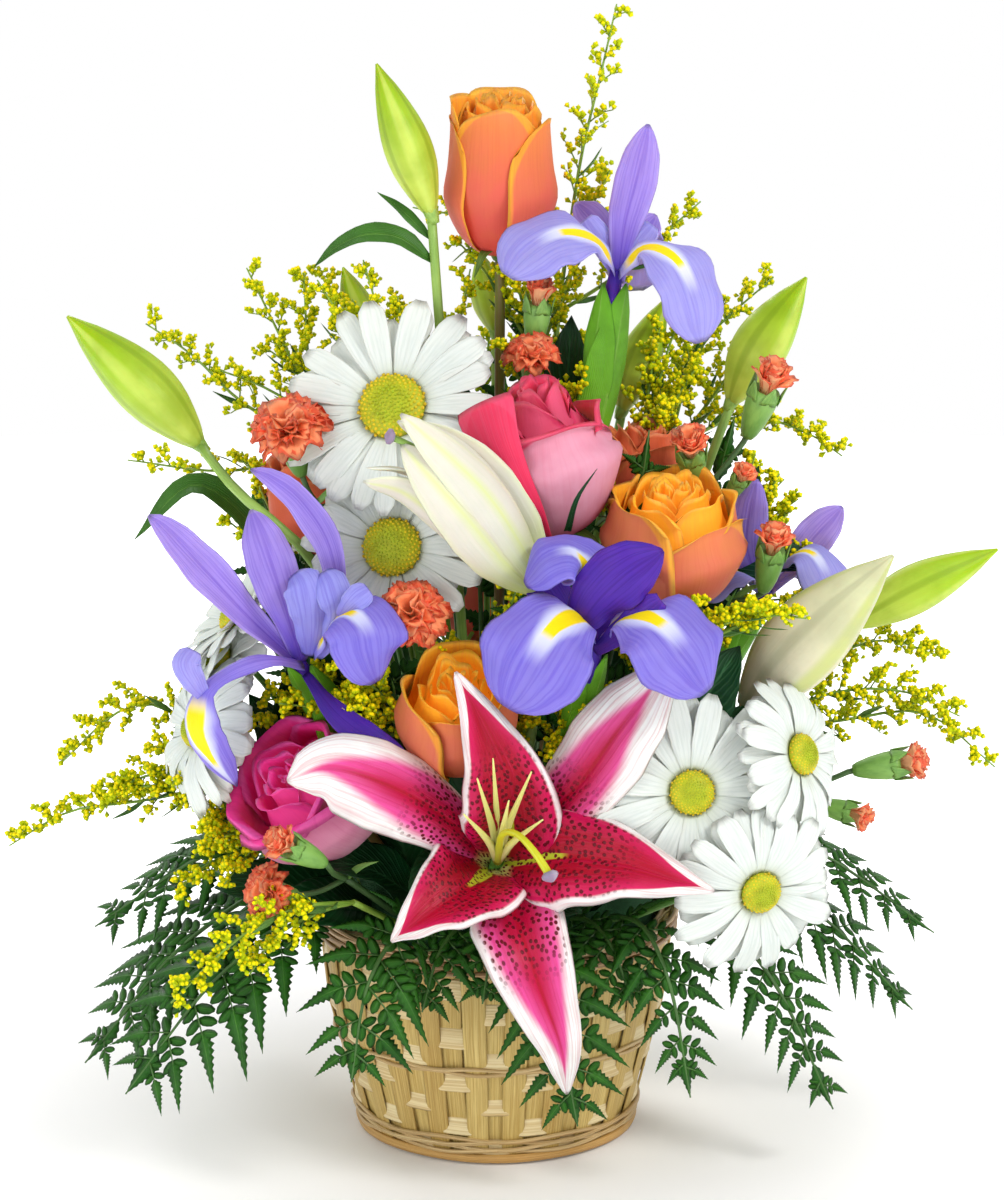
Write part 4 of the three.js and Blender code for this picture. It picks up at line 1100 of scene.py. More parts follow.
def lily_bud(name, base, tip, width, cream=False, leaves=(), foot=None, bends=()):
    """A closed bud on its stem, which can have bends, with a swollen joint and any narrow leaves."""
    base, tip = np.array(base, float), np.array(tip, float)
    start = cut_end(base, foot)
    bends = bends or [(start + base) / 2 + [0, BUD_BOW, 0]]
    body = [base, base * 0.6 + tip * 0.4 + [0, 0, BUD_BOW / 2], tip]
    radius = [width / 2 * share for share in BUD_SHAPE]
    toward = unit(tip - base)
    parts = [
        stalk([start, *bends, base], [2.7, 2.5, 2.3], rows=20, finish=1),
        stalk([base - toward * 5, base + toward * 4], [2.3, 3.6, width * 0.16], rows=6, finish=1),
        stalk(body, radius, sides=36, rows=34, lobes=BUD_RIBS, depth=0.09, tone=greens.uniform(0, 0.5)),
    ]
    for line, leaf_width, face in leaves:
        outline = [(0, 0.25), (0.2, 0.8), (0.45, 1), (0.75, 0.6), (1, 0.02)]
        parts.append(petal(line, leaf_width, face, outline, cup=0.35, keel=0.1, rows=16, columns=9, finish=2))
    skin = bud_cream if cream else bud_green
    build(name + "_piece", parts, [skin, pale_stem, leaf_bright], "lily_bud", name)


lily_bud("lily_bud_top_left", (-30, -24, 452), (-55, -22, 521), 22, leaves=[
    ([(-30, -23, 430), (-44, -26, 441), (-60, -28, 443), (-74, -26, 437), (-85, -24, 427)], 13,
     (0, -0.75, 0.8)),
    ([(-30, -23, 440), (-44, -22, 454), (-55, -24, 462)], 6, (0, -0.9, 0.6)),
])
lily_bud("lily_bud_left", (-141, -15, 342), (-202, -15, 403), 28, leaves=[
    ([(-106, -13, 286), (-124, -16, 312), (-146, -20, 323), (-172, -22, 297)], 17, (0, -0.7, 1)),
], bends=[(-60, -22, 230), (-84, -46, 288), (-98, -58, 308), (-112, -52, 318), (-126, -36, 328)])
lily_bud("lily_bud_upper_right", (114, 14, 358), (149, 15, 418), 27)
lily_bud("lily_bud_far_right", (172, -14, 254), (241, -10, 290), 23, foot=(33, -7))
lily_bud("lily_bud_right", (118, -52, 222), (184, -66, 298), 38, cream=True)
lily_bud("lily_bud_back_right", (62, 38, 350), (83, 40, 405), 21)
lily_bud("lily_bud_back_left", (-60, 26, 380), (-74, 32, 421), 17)
lily_bud("lily_bud_back_centre", (0, 26, 390), (-8, 32, 429), 17)


# ---- Roses ----------------------------------------------------------------------------------------
# Each bloom is a bud of tightly wrapped petals inside a ring of wider guard petals, whose shoulders
# are full and rims roll outwards. Thin sepals and a round hip join it to a reddish green stem.

petal_chance = np.random.default_rng(5)


def rose_petal(angle, spread, belly, rim, tall, curl=2.0, flare=0.0, fold=(0.0, 0.0), tilt=0.0, low=0.0,
               swirl=0.0, point=0.0, wave=0.6, full=0.6, finish=0, tone=0.0, rows=15, columns=17):
    """One petal wrapped round a bloom that stands on +Z, its front towards the bloom's axis.

    belly is its radius at its fullest, a share `full` of the way up, and rim its radius at its neck;
    curl rolls the rim out past the neck. fold turns each upright edge outwards, flare pulls the
    corners out, tilt lifts one corner, swirl tucks one side behind its neighbour, and wave makes the
    rim uneven. Lengths are in millimetres.
    """
    v = np.linspace(-1, 1, columns)[None, :]
    sections = []
    for top, roll in ((tall, curl), (tall * 0.84, curl * 0.8)):
        places = [
            (belly * 0.12, 0), (belly * 0.45, top * full * 0.13), (belly * 0.75, top * full * 0.42),
            (belly, top * full), (belly * 0.45 + rim * 0.55, top * (0.45 + full * 0.5)), (rim, top * 0.93),
            (rim + roll * 0.4, top), (rim + roll, top - roll * 0.1), (rim + roll * 1.2, top - roll * 0.6),
        ]
        sections.append(smooth_line([(r, z, 0) for r, z in places], rows)[:, None])
    u = np.linspace(0, 1, rows)[:, None]
    corner = np.abs(v) ** 3
    middle, side = sections
    reach = middle[..., 0] * (1 - corner) + side[..., 0] * corner
    rise = middle[..., 1] * (1 - corner) + side[..., 1] * corner
    edge = np.where(v < 0, fold[0], fold[1]) * np.clip((np.abs(v) - 0.55) / 0.45, 0, 1) ** 2
    reach = reach + edge * np.clip(u * 1.6, 0, 1) * (1 - 0.35 * u) + flare * corner * u**3
    reach = reach + swirl * v * (0.3 + 0.7 * u) + wave * np.sin(6.3 * v + angle * 7) * u**3
    tip = point * np.exp(-((v / 0.2) ** 2)) * u**8
    rise = rise + tilt * v * u**2.5 + tip * 0.6 + wave * np.sin(5.1 * v + angle * 11) * u**4
    narrow = np.interp(u, [0, 0.15, 0.4, 0.8, 0.93, 1], [0.6, 0.85, 1.0, 0.98, 0.92, 0.8])
    theta = angle + v * spread / 2 * narrow
    reach = reach + tip
    sheet = np.stack(np.broadcast_arrays(reach * np.cos(theta), reach * np.sin(theta), low + rise), axis=-1)
    return shell(sheet, np.array([-math.cos(angle), -math.sin(angle), 0.1]), 0.55, finish, tone)


def placed(part, base, face, spin=0.0):
    """A part made standing on +Z, turned to face a direction and moved to its base."""
    face = unit(face)
    across = unit(np.cross([0, 1, 0.02], face))
    up = np.cross(face, across)
    turn_x = across * math.cos(spin) + up * math.sin(spin)
    turn_y = up * math.cos(spin) - across * math.sin(spin)
    points = part["points"]
    moved = points[:, :1] * turn_x + points[:, 1:2] * turn_y + points[:, 2:] * face + np.array(base)
    return {**part, "points": moved}


TIGHT_HEART = [
    # petals, belly, rim, height, spread and curl, as shares of the bloom's radius and height
    (2, 0.2, 0.07, 0.92, 4.2, 0.0), (2, 0.34, 0.17, 0.98, 3.8, 0.01), (3, 0.52, 0.32, 1.0, 2.9, 0.02),
    (3, 0.74, 0.52, 0.98, 2.6, 0.03),
]
OPEN_HEART = [
    (2, 0.16, 0.09, 0.94, 4.0, 0.0), (2, 0.28, 0.18, 0.96, 3.4, 0.0), (3, 0.42, 0.31, 0.95, 2.7, 0.01),
    (3, 0.57, 0.45, 0.93, 2.5, 0.02), (3, 0.74, 0.62, 0.9, 2.4, 0.04),
]
PINK_HEART = [
    (2, 0.18, 0.07, 0.94, 4.2, 0.0), (2, 0.3, 0.15, 1.0, 3.8, 0.01), (3, 0.46, 0.28, 0.98, 2.9, 0.02),
    (2, 0.64, 0.42, 0.93, 3.2, 0.03),
]
COMMON_GUARDS = [
    # angle in degrees (0 right, 270 front), spread, belly, rim, height, curl, flare, folds, tilt
    (90, 2.4, 0.88, 0.74, 0.97, 0.05, 0, (0, 0), 0), (200, 2.3, 0.95, 0.8, 0.93, 0.05, 0, (0, 2), 2),
    (325, 2.4, 1.0, 0.84, 0.88, 0.06, 0, (2, 0), -2),
]


def rose(name, base, face, radius, height, look, node=None, spin=0.0, heart=TIGHT_HEART, guards=COMMON_GUARDS,
         full=0.6, flaps=(), sepals=(), ruffle=0.0, slot="rose_coral"):
    """A rose on its stem: a heart of wrapped petals inside its outer guard petals.

    It can have flaps, guard petals that have folded right back, each a (line, width, face), and
    long sepals, each a line. ruffle waves the rims of its heart.
    """
    base = np.array(base, float)
    parts = []
    for number, (count, belly, rim, tall, spread, curl) in enumerate(heart):
        for k in range(count):
            shift = petal_chance.uniform(-0.2, 0.2)
            angle = 2 * math.pi * (k + 0.5 * (number % 2)) / count + shift + number * 0.9
            part = rose_petal(
                angle, spread * petal_chance.uniform(0.92, 1.06), radius * belly, radius * rim, height * tall,
                curl=max(curl * radius, 0.5), swirl=radius * 0.05,
                tilt=height * petal_chance.uniform(-0.03, 0.04), tone=petal_chance.uniform(0, 0.12),
                point=petal_chance.uniform(0, 0.6), low=2.0, finish=3,
                wave=radius * (petal_chance.uniform(0.02, 0.06) + ruffle), full=full,
            )
            parts.append(placed(part, base, face, spin))
    for angle, spread, belly, rim, tall, curl, flare, fold, tilt in guards:
        part = rose_petal(
            math.radians(angle), spread, radius * belly, radius * rim, height * tall, curl=curl * radius,
            flare=flare, fold=fold, tilt=tilt, tone=petal_chance.uniform(0, 0.08),
            point=petal_chance.uniform(0, 0.8), rows=19, columns=21, full=full, wave=radius * 0.025,
        )
        parts.append(placed(part, base, face, spin))
    for line, width, toward in flaps:
        outline = [(0, 0.08), (0.2, 0.3), (0.5, 0.58), (0.8, 0.88), (0.95, 1), (1, 0.94)]
        parts.append(petal(
            line, width, toward, outline, cup=-0.5, ruffle=0.8, waves=1.5, rows=22, columns=13, thick=0.7
        ))
    for line in sepals:
        outline = [(0, 1), (0.5, 0.7), (1, 0.05)]
        parts.append(petal(line, 3.6, (0.1, -1, 0), outline, cup=0.5, rows=10, columns=5, finish=4))
    hip = turned([(0, -2), (3.2, -2), (4.8, 1), (5.6, 4.5), (5.2, 8), (0, 9)], 16, finish=1)
    hip["tone"] = 0.0
    parts.append(placed(hip, base, face, spin))
    for k in range(5):
        angle = 2 * math.pi * k / 5 + 0.4
        side = np.array([math.cos(angle), math.sin(angle), 0])
        tip = side * (radius * 0.9) + [0, 0, -4 - 3 * (k % 2)]
        line = [side * 4 + [0, 0, 3], side * (radius * 0.55) + [0, 0, 3], tip]
        outline = [(0, 0.8), (0.3, 1), (0.7, 0.45), (1, 0.03)]
        sepal = petal(line, 6.5, (0, 0, 1), outline, cup=0.3, rows=12, columns=5, finish=1, tone=0.2)
        parts.append(placed(sepal, base, face, spin))
    start = cut_end(base)
    neck = base - unit(face) * 9
    line = [start, (start + neck) / 2 + [0, 2, 0], neck, base + unit(face) * 2]
    parts.append(stalk(line, 2.5, rows=16, finish=2))
    guard_paint, heart_paint = rose_paint[look]
    build(name, parts, [guard_paint, rose_leaf_green, rose_stem, heart_paint, salal_green], slot, node)


rose_leaf_green = leaf_material("sepal_green", (92, 128, 46), (128, 158, 80), (140, 168, 88), 0.5)
rose_stem = stem_material("rose_stem", (112, 120, 52), (122, 62, 40))
ROSE_LOOKS = {
    # a petal's inside at its heart, body and rim; its outside, at the rim and at the base; the outside
    # of the inner petals; the streaks; how far the rim's colour runs down outside; and the glow
    "sunset": [(238, 132, 40), (242, 150, 40), (246, 172, 44), (214, 82, 80), (240, 150, 50), (206, 60, 66),
               (246, 140, 46), (206, 66, 66), 0.45, 0.08],
    "amber": [(250, 162, 26), (250, 174, 44), (250, 180, 56), (214, 96, 90), (240, 154, 58), (210, 76, 76),
              (252, 170, 40), (208, 84, 62), 0.22, 0.16],
    "coral": [(226, 104, 60), (232, 106, 66), (238, 134, 80), (224, 92, 70), (238, 124, 78), (206, 78, 68),
              (230, 100, 66), (206, 70, 56), 0.5, 0.0],
    "pink": [(222, 34, 76), (230, 52, 90), (232, 66, 104), (222, 158, 178), (222, 66, 108), (206, 92, 120),
             (228, 92, 124), (218, 84, 120), 0.12, 0.04],
    "magenta": [(242, 36, 128), (246, 56, 146), (240, 90, 170), (230, 160, 180), (224, 66, 150),
     (238, 206, 200),
                (246, 80, 156), (210, 40, 124), 0.5, 0.08],
}
rose_paint = {}
for look, (heart, body, edge, rear, rear_edge, rear_base, inner, vein, golden, light) in ROSE_LOOKS.items():
    rose_paint[look] = [
        petal_material(
            f"rose_{look}_{part}", heart, body, edge, outside, gloss=0.55, heart_reach=(0.1, 0.75),
            edge_band=(0.9, 1.02), tip_pull=0.9, tip_power=9.0, vein=vein, vein_share=0.16, count=26.0,
            uneven=0.18, depth=0.0002, rear_edge=rear_edge, rear_base=low, rear_fade=rear_fade, glow=glow,
        )
        for part, outside, low, rear_fade, glow in (
            ("guard", rear, rear_base, golden, 0.0), ("heart", inner, rear, 0.3, light),
        )
    ]
rose("rose_tall_coral", (2, -2, 430), (0, -0.06, 1), 26, 78, "sunset", "rose_top", full=0.42,
    heart=OPEN_HEART, ruffle=0.03, guards=[
    (90, 2.6, 0.92, 0.84, 1.0, 0.03, 0, (0, 0), 0), (150, 2.4, 0.94, 0.86, 0.97, 0.03, 0, (0, 0), 2),
    (262, 2.3, 0.97, 0.86, 0.92, 0.03, 0, (0, 0), 3), (184, 1.7, 1.01, 0.87, 0.84, 0.02, 0, (0, 2), -3),
    (340, 2.2, 1.04, 0.9, 0.84, 0.015, 0, (3, 0), 3),
])
rose("rose_pink_bloom", (31, -42, 304), (-0.16, -0.22, 0.95), 33, 77, "pink", "rose_pink", full=0.68, guards=[
    (100, 2.6, 0.84, 0.56, 0.93, 0.05, 0, (0, 0), 0), (20, 2.0, 0.92, 0.76, 0.8, 0.07, 2, (0, 0), -4),
    (190, 2.2, 0.94, 0.66, 0.93, 0.06, 0, (0, 0), 0), (300, 2.8, 1.02, 0.74, 0.8, 0.09, 7, (0, 0), -5),
],
flaps=[([(25, -72, 307), (17, -82, 322), (7, -86, 338), (-1, -83, 354), (-7, -74, 371)], 31,
  (-0.35, -0.95, 0.1))],
     sepals=[[(33, -78, 312), (37, -94, 330), (46, -96, 344)]], heart=PINK_HEART, slot="rose_pink")
rose("rose_orange_open", (84, -44, 270), (-0.02, -0.24, 0.96), 33, 64, "amber", "rose_right", full=0.62,
     heart=OPEN_HEART, guards=[
         (85, 2.5, 0.9, 0.8, 0.96, 0.04, 0, (0, 0), 0), (10, 2.1, 0.94, 0.84, 0.86, 0.04, 0, (0, 0), 0),
         (165, 2.1, 0.92, 0.82, 0.92, 0.04, 0, (0, 0), 0), (302, 2.3, 1.0, 0.84, 0.76, 0.04, 6, (0, 0), 5),
         (214, 1.9, 1.05, 0.88, 0.94, 0.04, 0, (0, 3), 0),
     ], slot="rose_orange")
rose("rose_orange_front", (-17, -62, 198), (-0.02, -0.56, 0.83), 28, 62, "amber", "rose_front", full=0.58,
    guards=[
    (85, 2.6, 0.92, 0.8, 0.97, 0.03, 0, (0, 0), 0), (272, 2.2, 0.93, 0.78, 0.86, 0.03, 0, (0, 0), 0),
    (350, 2.0, 1.0, 0.84, 0.9, 0.04, 0, (2, 0), -1), (196, 2.2, 1.04, 0.86, 0.9, 0.04, 0, (0, 3), 1),
], heart=OPEN_HEART, slot="rose_orange")
rose("rose_magenta_bloom", (-66, -54, 166), (-0.6, -0.5, 0.58), 34, 56, "magenta", "rose_magenta", full=0.6,
    guards=[
    (90, 2.5, 0.9, 0.8, 1.0, 0.1, 2, (0, 0), 0), (20, 2.2, 0.93, 0.78, 0.94, 0.08, 1, (0, 0), 0),
    (165, 2.2, 0.96, 0.86, 1.0, 0.12, 2, (0, 0), 3), (310, 2.4, 1.0, 0.84, 0.9, 0.1, 2, (0, 0), -3),
    (238, 2.3, 1.05, 0.92, 0.95, 0.14, 4, (1, 2), 0),
], slot="rose_magenta")
rose("rose_coral_left", (-78, 10, 286), (-0.35, -0.3, 1), 25, 54, "coral", "rose_left", spin=0.8)
rose("rose_coral_right", (66, 2, 300), (0.1, -0.15, 1), 24, 50, "coral", "rose_back_right", spin=1.7)
rose("rose_coral_rear", (-4, 70, 226), (0, 0.8, 0.7), 31, 60, "sunset", "rose_rear", spin=0.2)


# ---- Irises ---------------------------------------------------------------------------------------
# Dutch irises. Three broad falls arch out and down with a yellow signal on each, three standards
# rise between them, and a split crest covers the foot of each fall. Green sheaths wrap the stems.

FALL_SHAPE = [
    (0, 0.16), (0.14, 0.2), (0.28, 0.42), (0.45, 0.84), (0.62, 1), (0.78, 0.97), (0.9, 0.76), (0.97, 0.45),
    (1, 0.2)
]
LONG_FALL = [(0, 0.34), (0.3, 0.42), (0.5, 0.5), (0.62, 0.9), (0.75, 1), (0.88, 0.7), (0.96, 0.3), (1, 0.05)]
STANDARD = [(0, 0.3), (0.2, 0.5), (0.45, 0.9), (0.65, 1), (0.82, 0.84), (0.94, 0.45), (1, 0.08)]
CREST = [(0, 0.35), (0.4, 0.8), (0.75, 1), (0.92, 0.85), (1, 0.5)]
SHEATH = [(0, 0.6), (0.3, 0.95), (0.6, 0.9), (0.85, 0.5), (1, 0.05)]
FORWARD, UPWARD = (0, -1, 0.3), (0, -0.25, 1)

BLUE = dict(edge=(122, 112, 208), rear=(108, 92, 200), vein=(84, 68, 188), vein_share=0.4, count=17.0,
            edge_band=(0.75, 1.05), uneven=0.16, gloss=0.5, depth=0.0003)
SIGNAL = dict(patch=(250, 216, 0), halo=(208, 210, 240), patch_place=(0.1, 0.56, 0.46))
iris_paint = [
    petal_material("iris_fall", (140, 130, 214), (122, 112, 204), **SIGNAL, **BLUE),
    petal_material("iris_long_fall", (142, 118, 206), (126, 112, 208),
                   **{**SIGNAL, "patch_place": (0.56, 0.86, 0.5)}, **BLUE),
    petal_material("iris_lilac", (92, 64, 190), (142, 120, 210), (160, 140, 220), (130, 106, 202), gloss=0.5,
                   vein=(84, 56, 180), vein_share=0.35, count=13.0, rib=(78, 46, 176), rib_share=0.6,
                   heart_reach=(0.0, 0.55), edge_band=(0.4, 1.0), uneven=0.2, depth=0.0003),
    petal_material("iris_deep", (50, 24, 122), (66, 38, 156), (80, 54, 178), (66, 38, 156), gloss=0.48,
                   vein=(48, 22, 122), vein_share=0.5, count=15.0, edge_band=(0.7, 1.1), uneven=0.22,
                   depth=0.0004),
    petal_material("iris_crest", (124, 116, 206), (140, 138, 214), (162, 164, 226), (126, 116, 206),
                   gloss=0.5, vein=(98, 84, 190), vein_share=0.3, count=11.0, uneven=0.12, depth=0.0002),
    petal_material("iris_pale_fall", (166, 164, 226), (148, 144, 214), **SIGNAL,
                   **{**BLUE, "edge": (148, 142, 214), "rear": (134, 122, 208), "vein": (118, 110, 204)}),
]
FALL, LONG, LILAC, DEEP, PALE, SKY = range(6)
sheath_green = leaf_material(
    "sheath_green", (108, 184, 34), (128, 196, 52), (146, 204, 84), 0.42, count=16.0, slant=0.0
)
iris_chance = np.random.default_rng(13)


def iris(name, node, throat, petals, foot=None, sheath=30):
    """An iris: its petals, a tapering tube below them in a folded green sheath, and its stem."""
    throat = np.array(throat, float)
    start = cut_end(throat, foot)
    down = unit(start - throat)
    parts = []
    for line, width, face, shape, finish, cup, ruffle in petals:
        parts.append(petal(
            line, width, face, shape, cup=cup, ruffle=ruffle * 1.4, waves=3.0, thick=0.7, rows=25, columns=17,
            keel=0.04, finish=finish, tone=iris_chance.uniform(0, 0.2), phase=iris_chance.uniform(0, 6),
        ))
    tube = [throat + down * 34, throat + down * 12, throat - down * 2]
    parts.append(stalk(tube, [2.6, 4.6, 3.0], sides=12, finish=DEEP, tone=0.2))
    parts.append(stalk([start, (start + throat) / 2 + [0, 2, 0], throat + down * 28], 2.9, rows=14, finish=6))
    for turn, drop, wide in ((0.3, 92, 1.0), (2.6, 70, 0.7)):
        side = np.array([math.cos(turn), -abs(math.sin(turn)) - 0.2, 0])
        middle = throat + down * drop * 0.5 + side * 5
        line = [throat + down * drop + side * 2, middle, throat + down * 4 + side * 6]
        parts.append(petal(
            line, sheath * wide, side + [0, -0.8, 0.1], SHEATH, cup=[-1.2, -0.9, -0.8], rows=20, columns=13,
            finish=7, keel=-0.05,
        ))
    build(name, parts, [*iris_paint, stem_green, sheath_green], "iris_violet", node)


iris("iris_top_bloom", "iris_top", (56, -26, 424), [
    ([(56, -28, 425), (47, -40, 441), (30, -50, 446), (14, -56, 438), (5, -58, 427)], 38, (0.1, -0.75, 1),
     FALL_SHAPE, SKY, -0.35, 1.6),
    ([(57, -28, 424), (69, -42, 438), (83, -54, 434), (92, -58, 416), (95, -56, 396)], 37, (0.35, -0.8, 0.8),
     FALL_SHAPE, SKY, -0.35, 1.6),
    ([(57, -24, 424), (60, -10, 440), (62, 8, 444), (66, 22, 430), (68, 28, 410)], 34, (0, 0.6, 1),
     FALL_SHAPE, SKY, -0.3, 1.5),
    ([(57, -27, 420), (60, -27, 446), (66, -22, 470), (71, -18, 493)], 21, FORWARD, STANDARD, LILAC, -0.4,
     1.2),
    ([(56, -22, 424), (48, -10, 444), (38, 2, 455)], 17, FORWARD, STANDARD, LILAC, 0.4, 1.0),
    ([(58, -22, 424), (68, -6, 440), (76, 4, 449)], 17, FORWARD, STANDARD, LILAC, 0.4, 1.0),
    ([(56, -22, 424), (49, -26, 440), (42, -26, 450)], 13, FORWARD, CREST, PALE, -0.5, 0.8),
    ([(58, -22, 424), (66, -26, 438), (73, -26, 447)], 13, FORWARD, CREST, PALE, -0.5, 0.8),
])
iris("iris_front_bloom", "iris_front", (46, -96, 262), [
    ([(45, -97, 266), (38, -116, 280), (26, -130, 278), (14, -139, 262), (5, -137, 243)], 54, (0.1, -0.9, 1),
     FALL_SHAPE, FALL, -0.3, 2.2),
    ([(47, -98, 266), (60, -116, 281), (74, -129, 280), (87, -136, 266), (95, -134, 250)], 52, (0.2, -0.8, 1),
     FALL_SHAPE, FALL, -0.4, 2.4),
    ([(43, -92, 268), (42, -104, 296), (35, -112, 309), (22, -115, 307), (13, -110, 294)], 34,
     (-0.3, -0.7, 1), FALL_SHAPE, FALL, -0.5, 1.2),
    ([(33, -103, 264), (44, -117, 286), (58, -123, 301), (75, -119, 311)], 33, (0.1, -1, 0.2), STANDARD,
     DEEP, -0.7, 2.0),
    ([(45, -100, 260), (58, -115, 274), (74, -122, 289)], 15, FORWARD, CREST, DEEP, -0.6, 1.0),
    ([(42, -92, 262), (56, -88, 288), (64, -80, 306)], 22, FORWARD, STANDARD, DEEP, 0.4, 1.2),
    ([(40, -90, 264), (24, -84, 286), (14, -76, 298)], 20, FORWARD, STANDARD, DEEP, 0.4, 1.2),
], sheath=22)
iris("iris_left_bloom", "iris_left", (-93, -71, 251), [
    ([(-92, -73, 249), (-112, -82, 271), (-135, -88, 298), (-151, -90, 316), (-158, -88, 321)], 20,
     (0.4, -1, 0.3), STANDARD, LILAC, 0.5, 1.2),
    ([(-90, -73, 249), (-96, -85, 276), (-102, -90, 298), (-108, -86, 314), (-112, -78, 322)], 27,
     (0.1, -1, 0.1), STANDARD, LILAC, -0.9, 2.0),
    ([(-84, -76, 256), (-73, -84, 281), (-76, -85, 307), (-89, -82, 327), (-103, -78, 337), (-112, -75, 340)],
     16, (-0.4, -1, 0.1), STANDARD, LILAC, 0.5, 0.9),
    ([(-86, -79, 253), (-85, -97, 276), (-87, -100, 291), (-91, -94, 296)], 23, FORWARD, CREST, PALE, -0.8,
     1.2),
    ([(-83, -80, 253), (-72, -99, 275), (-74, -102, 291), (-78, -96, 297)], 19, FORWARD, CREST, PALE, -0.8,
     1.2),
    ([(-84, -80, 254), (-74, -98, 274), (-65, -112, 281), (-57, -121, 275), (-55, -122, 264),
      (-53, -116, 250)], 39, (0.15, -0.7, 0.8), FALL_SHAPE, FALL, -0.35, 1.6),
    ([(-71, -104, 277), (-64, -110, 286), (-57, -108, 291)], 13, FORWARD, CREST, PALE, -0.4, 0.6),
    ([(-89, -78, 250), (-104, -90, 255), (-119, -99, 253), (-133, -105, 243), (-137, -109, 227),
      (-129, -105, 210), (-119, -98, 196)], 27, (-0.7, -0.75, 0.6), LONG_FALL, LONG, -0.9, 1.0),
    ([(-131, -104, 238), (-136, -108, 247), (-140, -108, 256), (-137, -104, 262)], 14, FORWARD, CREST, PALE,
     -0.4, 0.8),
    ([(-88, -78, 245), (-74, -93, 231), (-58, -100, 220), (-40, -101, 211)], 15, (0.2, -1, 0.3), STANDARD,
     DEEP, -0.7, 0.8),
])
iris("iris_right_bloom", "iris_right", (130, -4, 268), [
    ([(129, -6, 268), (120, -20, 292), (120, -28, 312), (123, -31, 328)], 21, FORWARD, STANDARD, LILAC,
     -0.5, 1.2),
    ([(131, -4, 268), (146, -4, 286), (158, -3, 300), (167, 0, 309)], 20, FORWARD, STANDARD, LILAC, 0.4, 1.2),
    ([(130, -8, 268), (140, -20, 288), (150, -28, 292), (158, -34, 280), (162, -36, 262)], 30, UPWARD,
     FALL_SHAPE, SKY, -0.4, 1.2),
    ([(128, -8, 268), (116, -24, 282), (106, -32, 282), (98, -36, 270)], 26, UPWARD, FALL_SHAPE, SKY, -0.4,
     1.2),
    ([(131, -2, 268), (140, 12, 286), (150, 22, 282), (156, 26, 266)], 26, (0, 0.4, 1), FALL_SHAPE, SKY,
     -0.3, 1.2),
], foot=(31, 2), sheath=20)


# ---- Daisies --------------------------------------------------------------------------------------
# White daisies with two rows of grooved rays, blunt at their tips, round a domed eye. The eye's many
# small florets run in spirals, green in the middle and open and golden at its rim.

daisy_chance = np.random.default_rng(31)


def scattered(shape, places, outs, sizes, finish=0, tones=0.0):
    """Many copies of one small shape made on +Z, set at places with their tops pointing out."""
    places, outs = np.asarray(places, float), unit(outs)
    spare = np.where(np.abs(outs[:, 2:]) > 0.9, [[1.0, 0, 0]], [[0, 0, 1.0]])
    across = unit(np.cross(spare, outs))
    other = np.cross(outs, across)
    model, count = np.asarray(shape["points"]), len(places)
    sizes = np.broadcast_to(sizes, count)[:, None, None]
    points = places[:, None] + sizes * (
        model[:, :1] * across[:, None] + model[:, 1:2] * other[:, None] + model[:, 2:] * outs[:, None]
    )
    shift = (np.arange(count) * len(model))[:, None, None]
    return {
        "points": points.reshape(-1, 3),
        "faces": [(np.asarray(faces) + shift).reshape(-1, faces.shape[1]) for faces in shape["faces"]],
        "uv": np.tile(shape["uv"], (count, 1)),
        "tone": np.repeat(np.broadcast_to(tones, count), len(model)),
        "finish": finish,
    }


RAY = [(0, 0.42), (0.15, 0.58), (0.4, 0.86), (0.7, 1), (0.86, 0.93), (0.95, 0.7), (1, 0.36)]
FLORET = turned([(0, -1), (0.75, -0.3), (0.62, 0.8), (0, 1.1)], 5)
FLORETS = 200
GOLDEN_TURN = 2.39996  # radians from one floret or petal to the next in a natural spiral
# The backs of the rays are whiter than their fronts: painted light for backs that sit in shade.
daisy_white = petal_material(
    "daisy_white", (208, 214, 196), (224, 228, 221), (227, 231, 225), (242, 245, 241), gloss=0.6, count=6.0,
    heart_reach=(0.0, 0.3), vein=(196, 204, 196), vein_share=0.35, base=(206, 212, 170), base_reach=0.12,
    edge_band=(0.9, 1.1), depth=0.0004, uneven=0.05,
)
eye_paint, tree, shader = new_material("daisy_eye", 0.6)
ripe = carried(tree, "tone")
shade = mix(tree, fade(tree, ripe, 0.1, 0.75), colour(160, 182, 24), colour(226, 196, 10))
shade = mix(tree, fade(tree, ripe, 0.85, 1.0, 0.0, 0.5), shade, colour(196, 150, 20))
worn = place_group(tree, mottle, Colour=shade, Dark=colour(140, 140, 10), Scale=260.0, Amount=0.4)
paint(tree, shader, worn.outputs["Colour"])


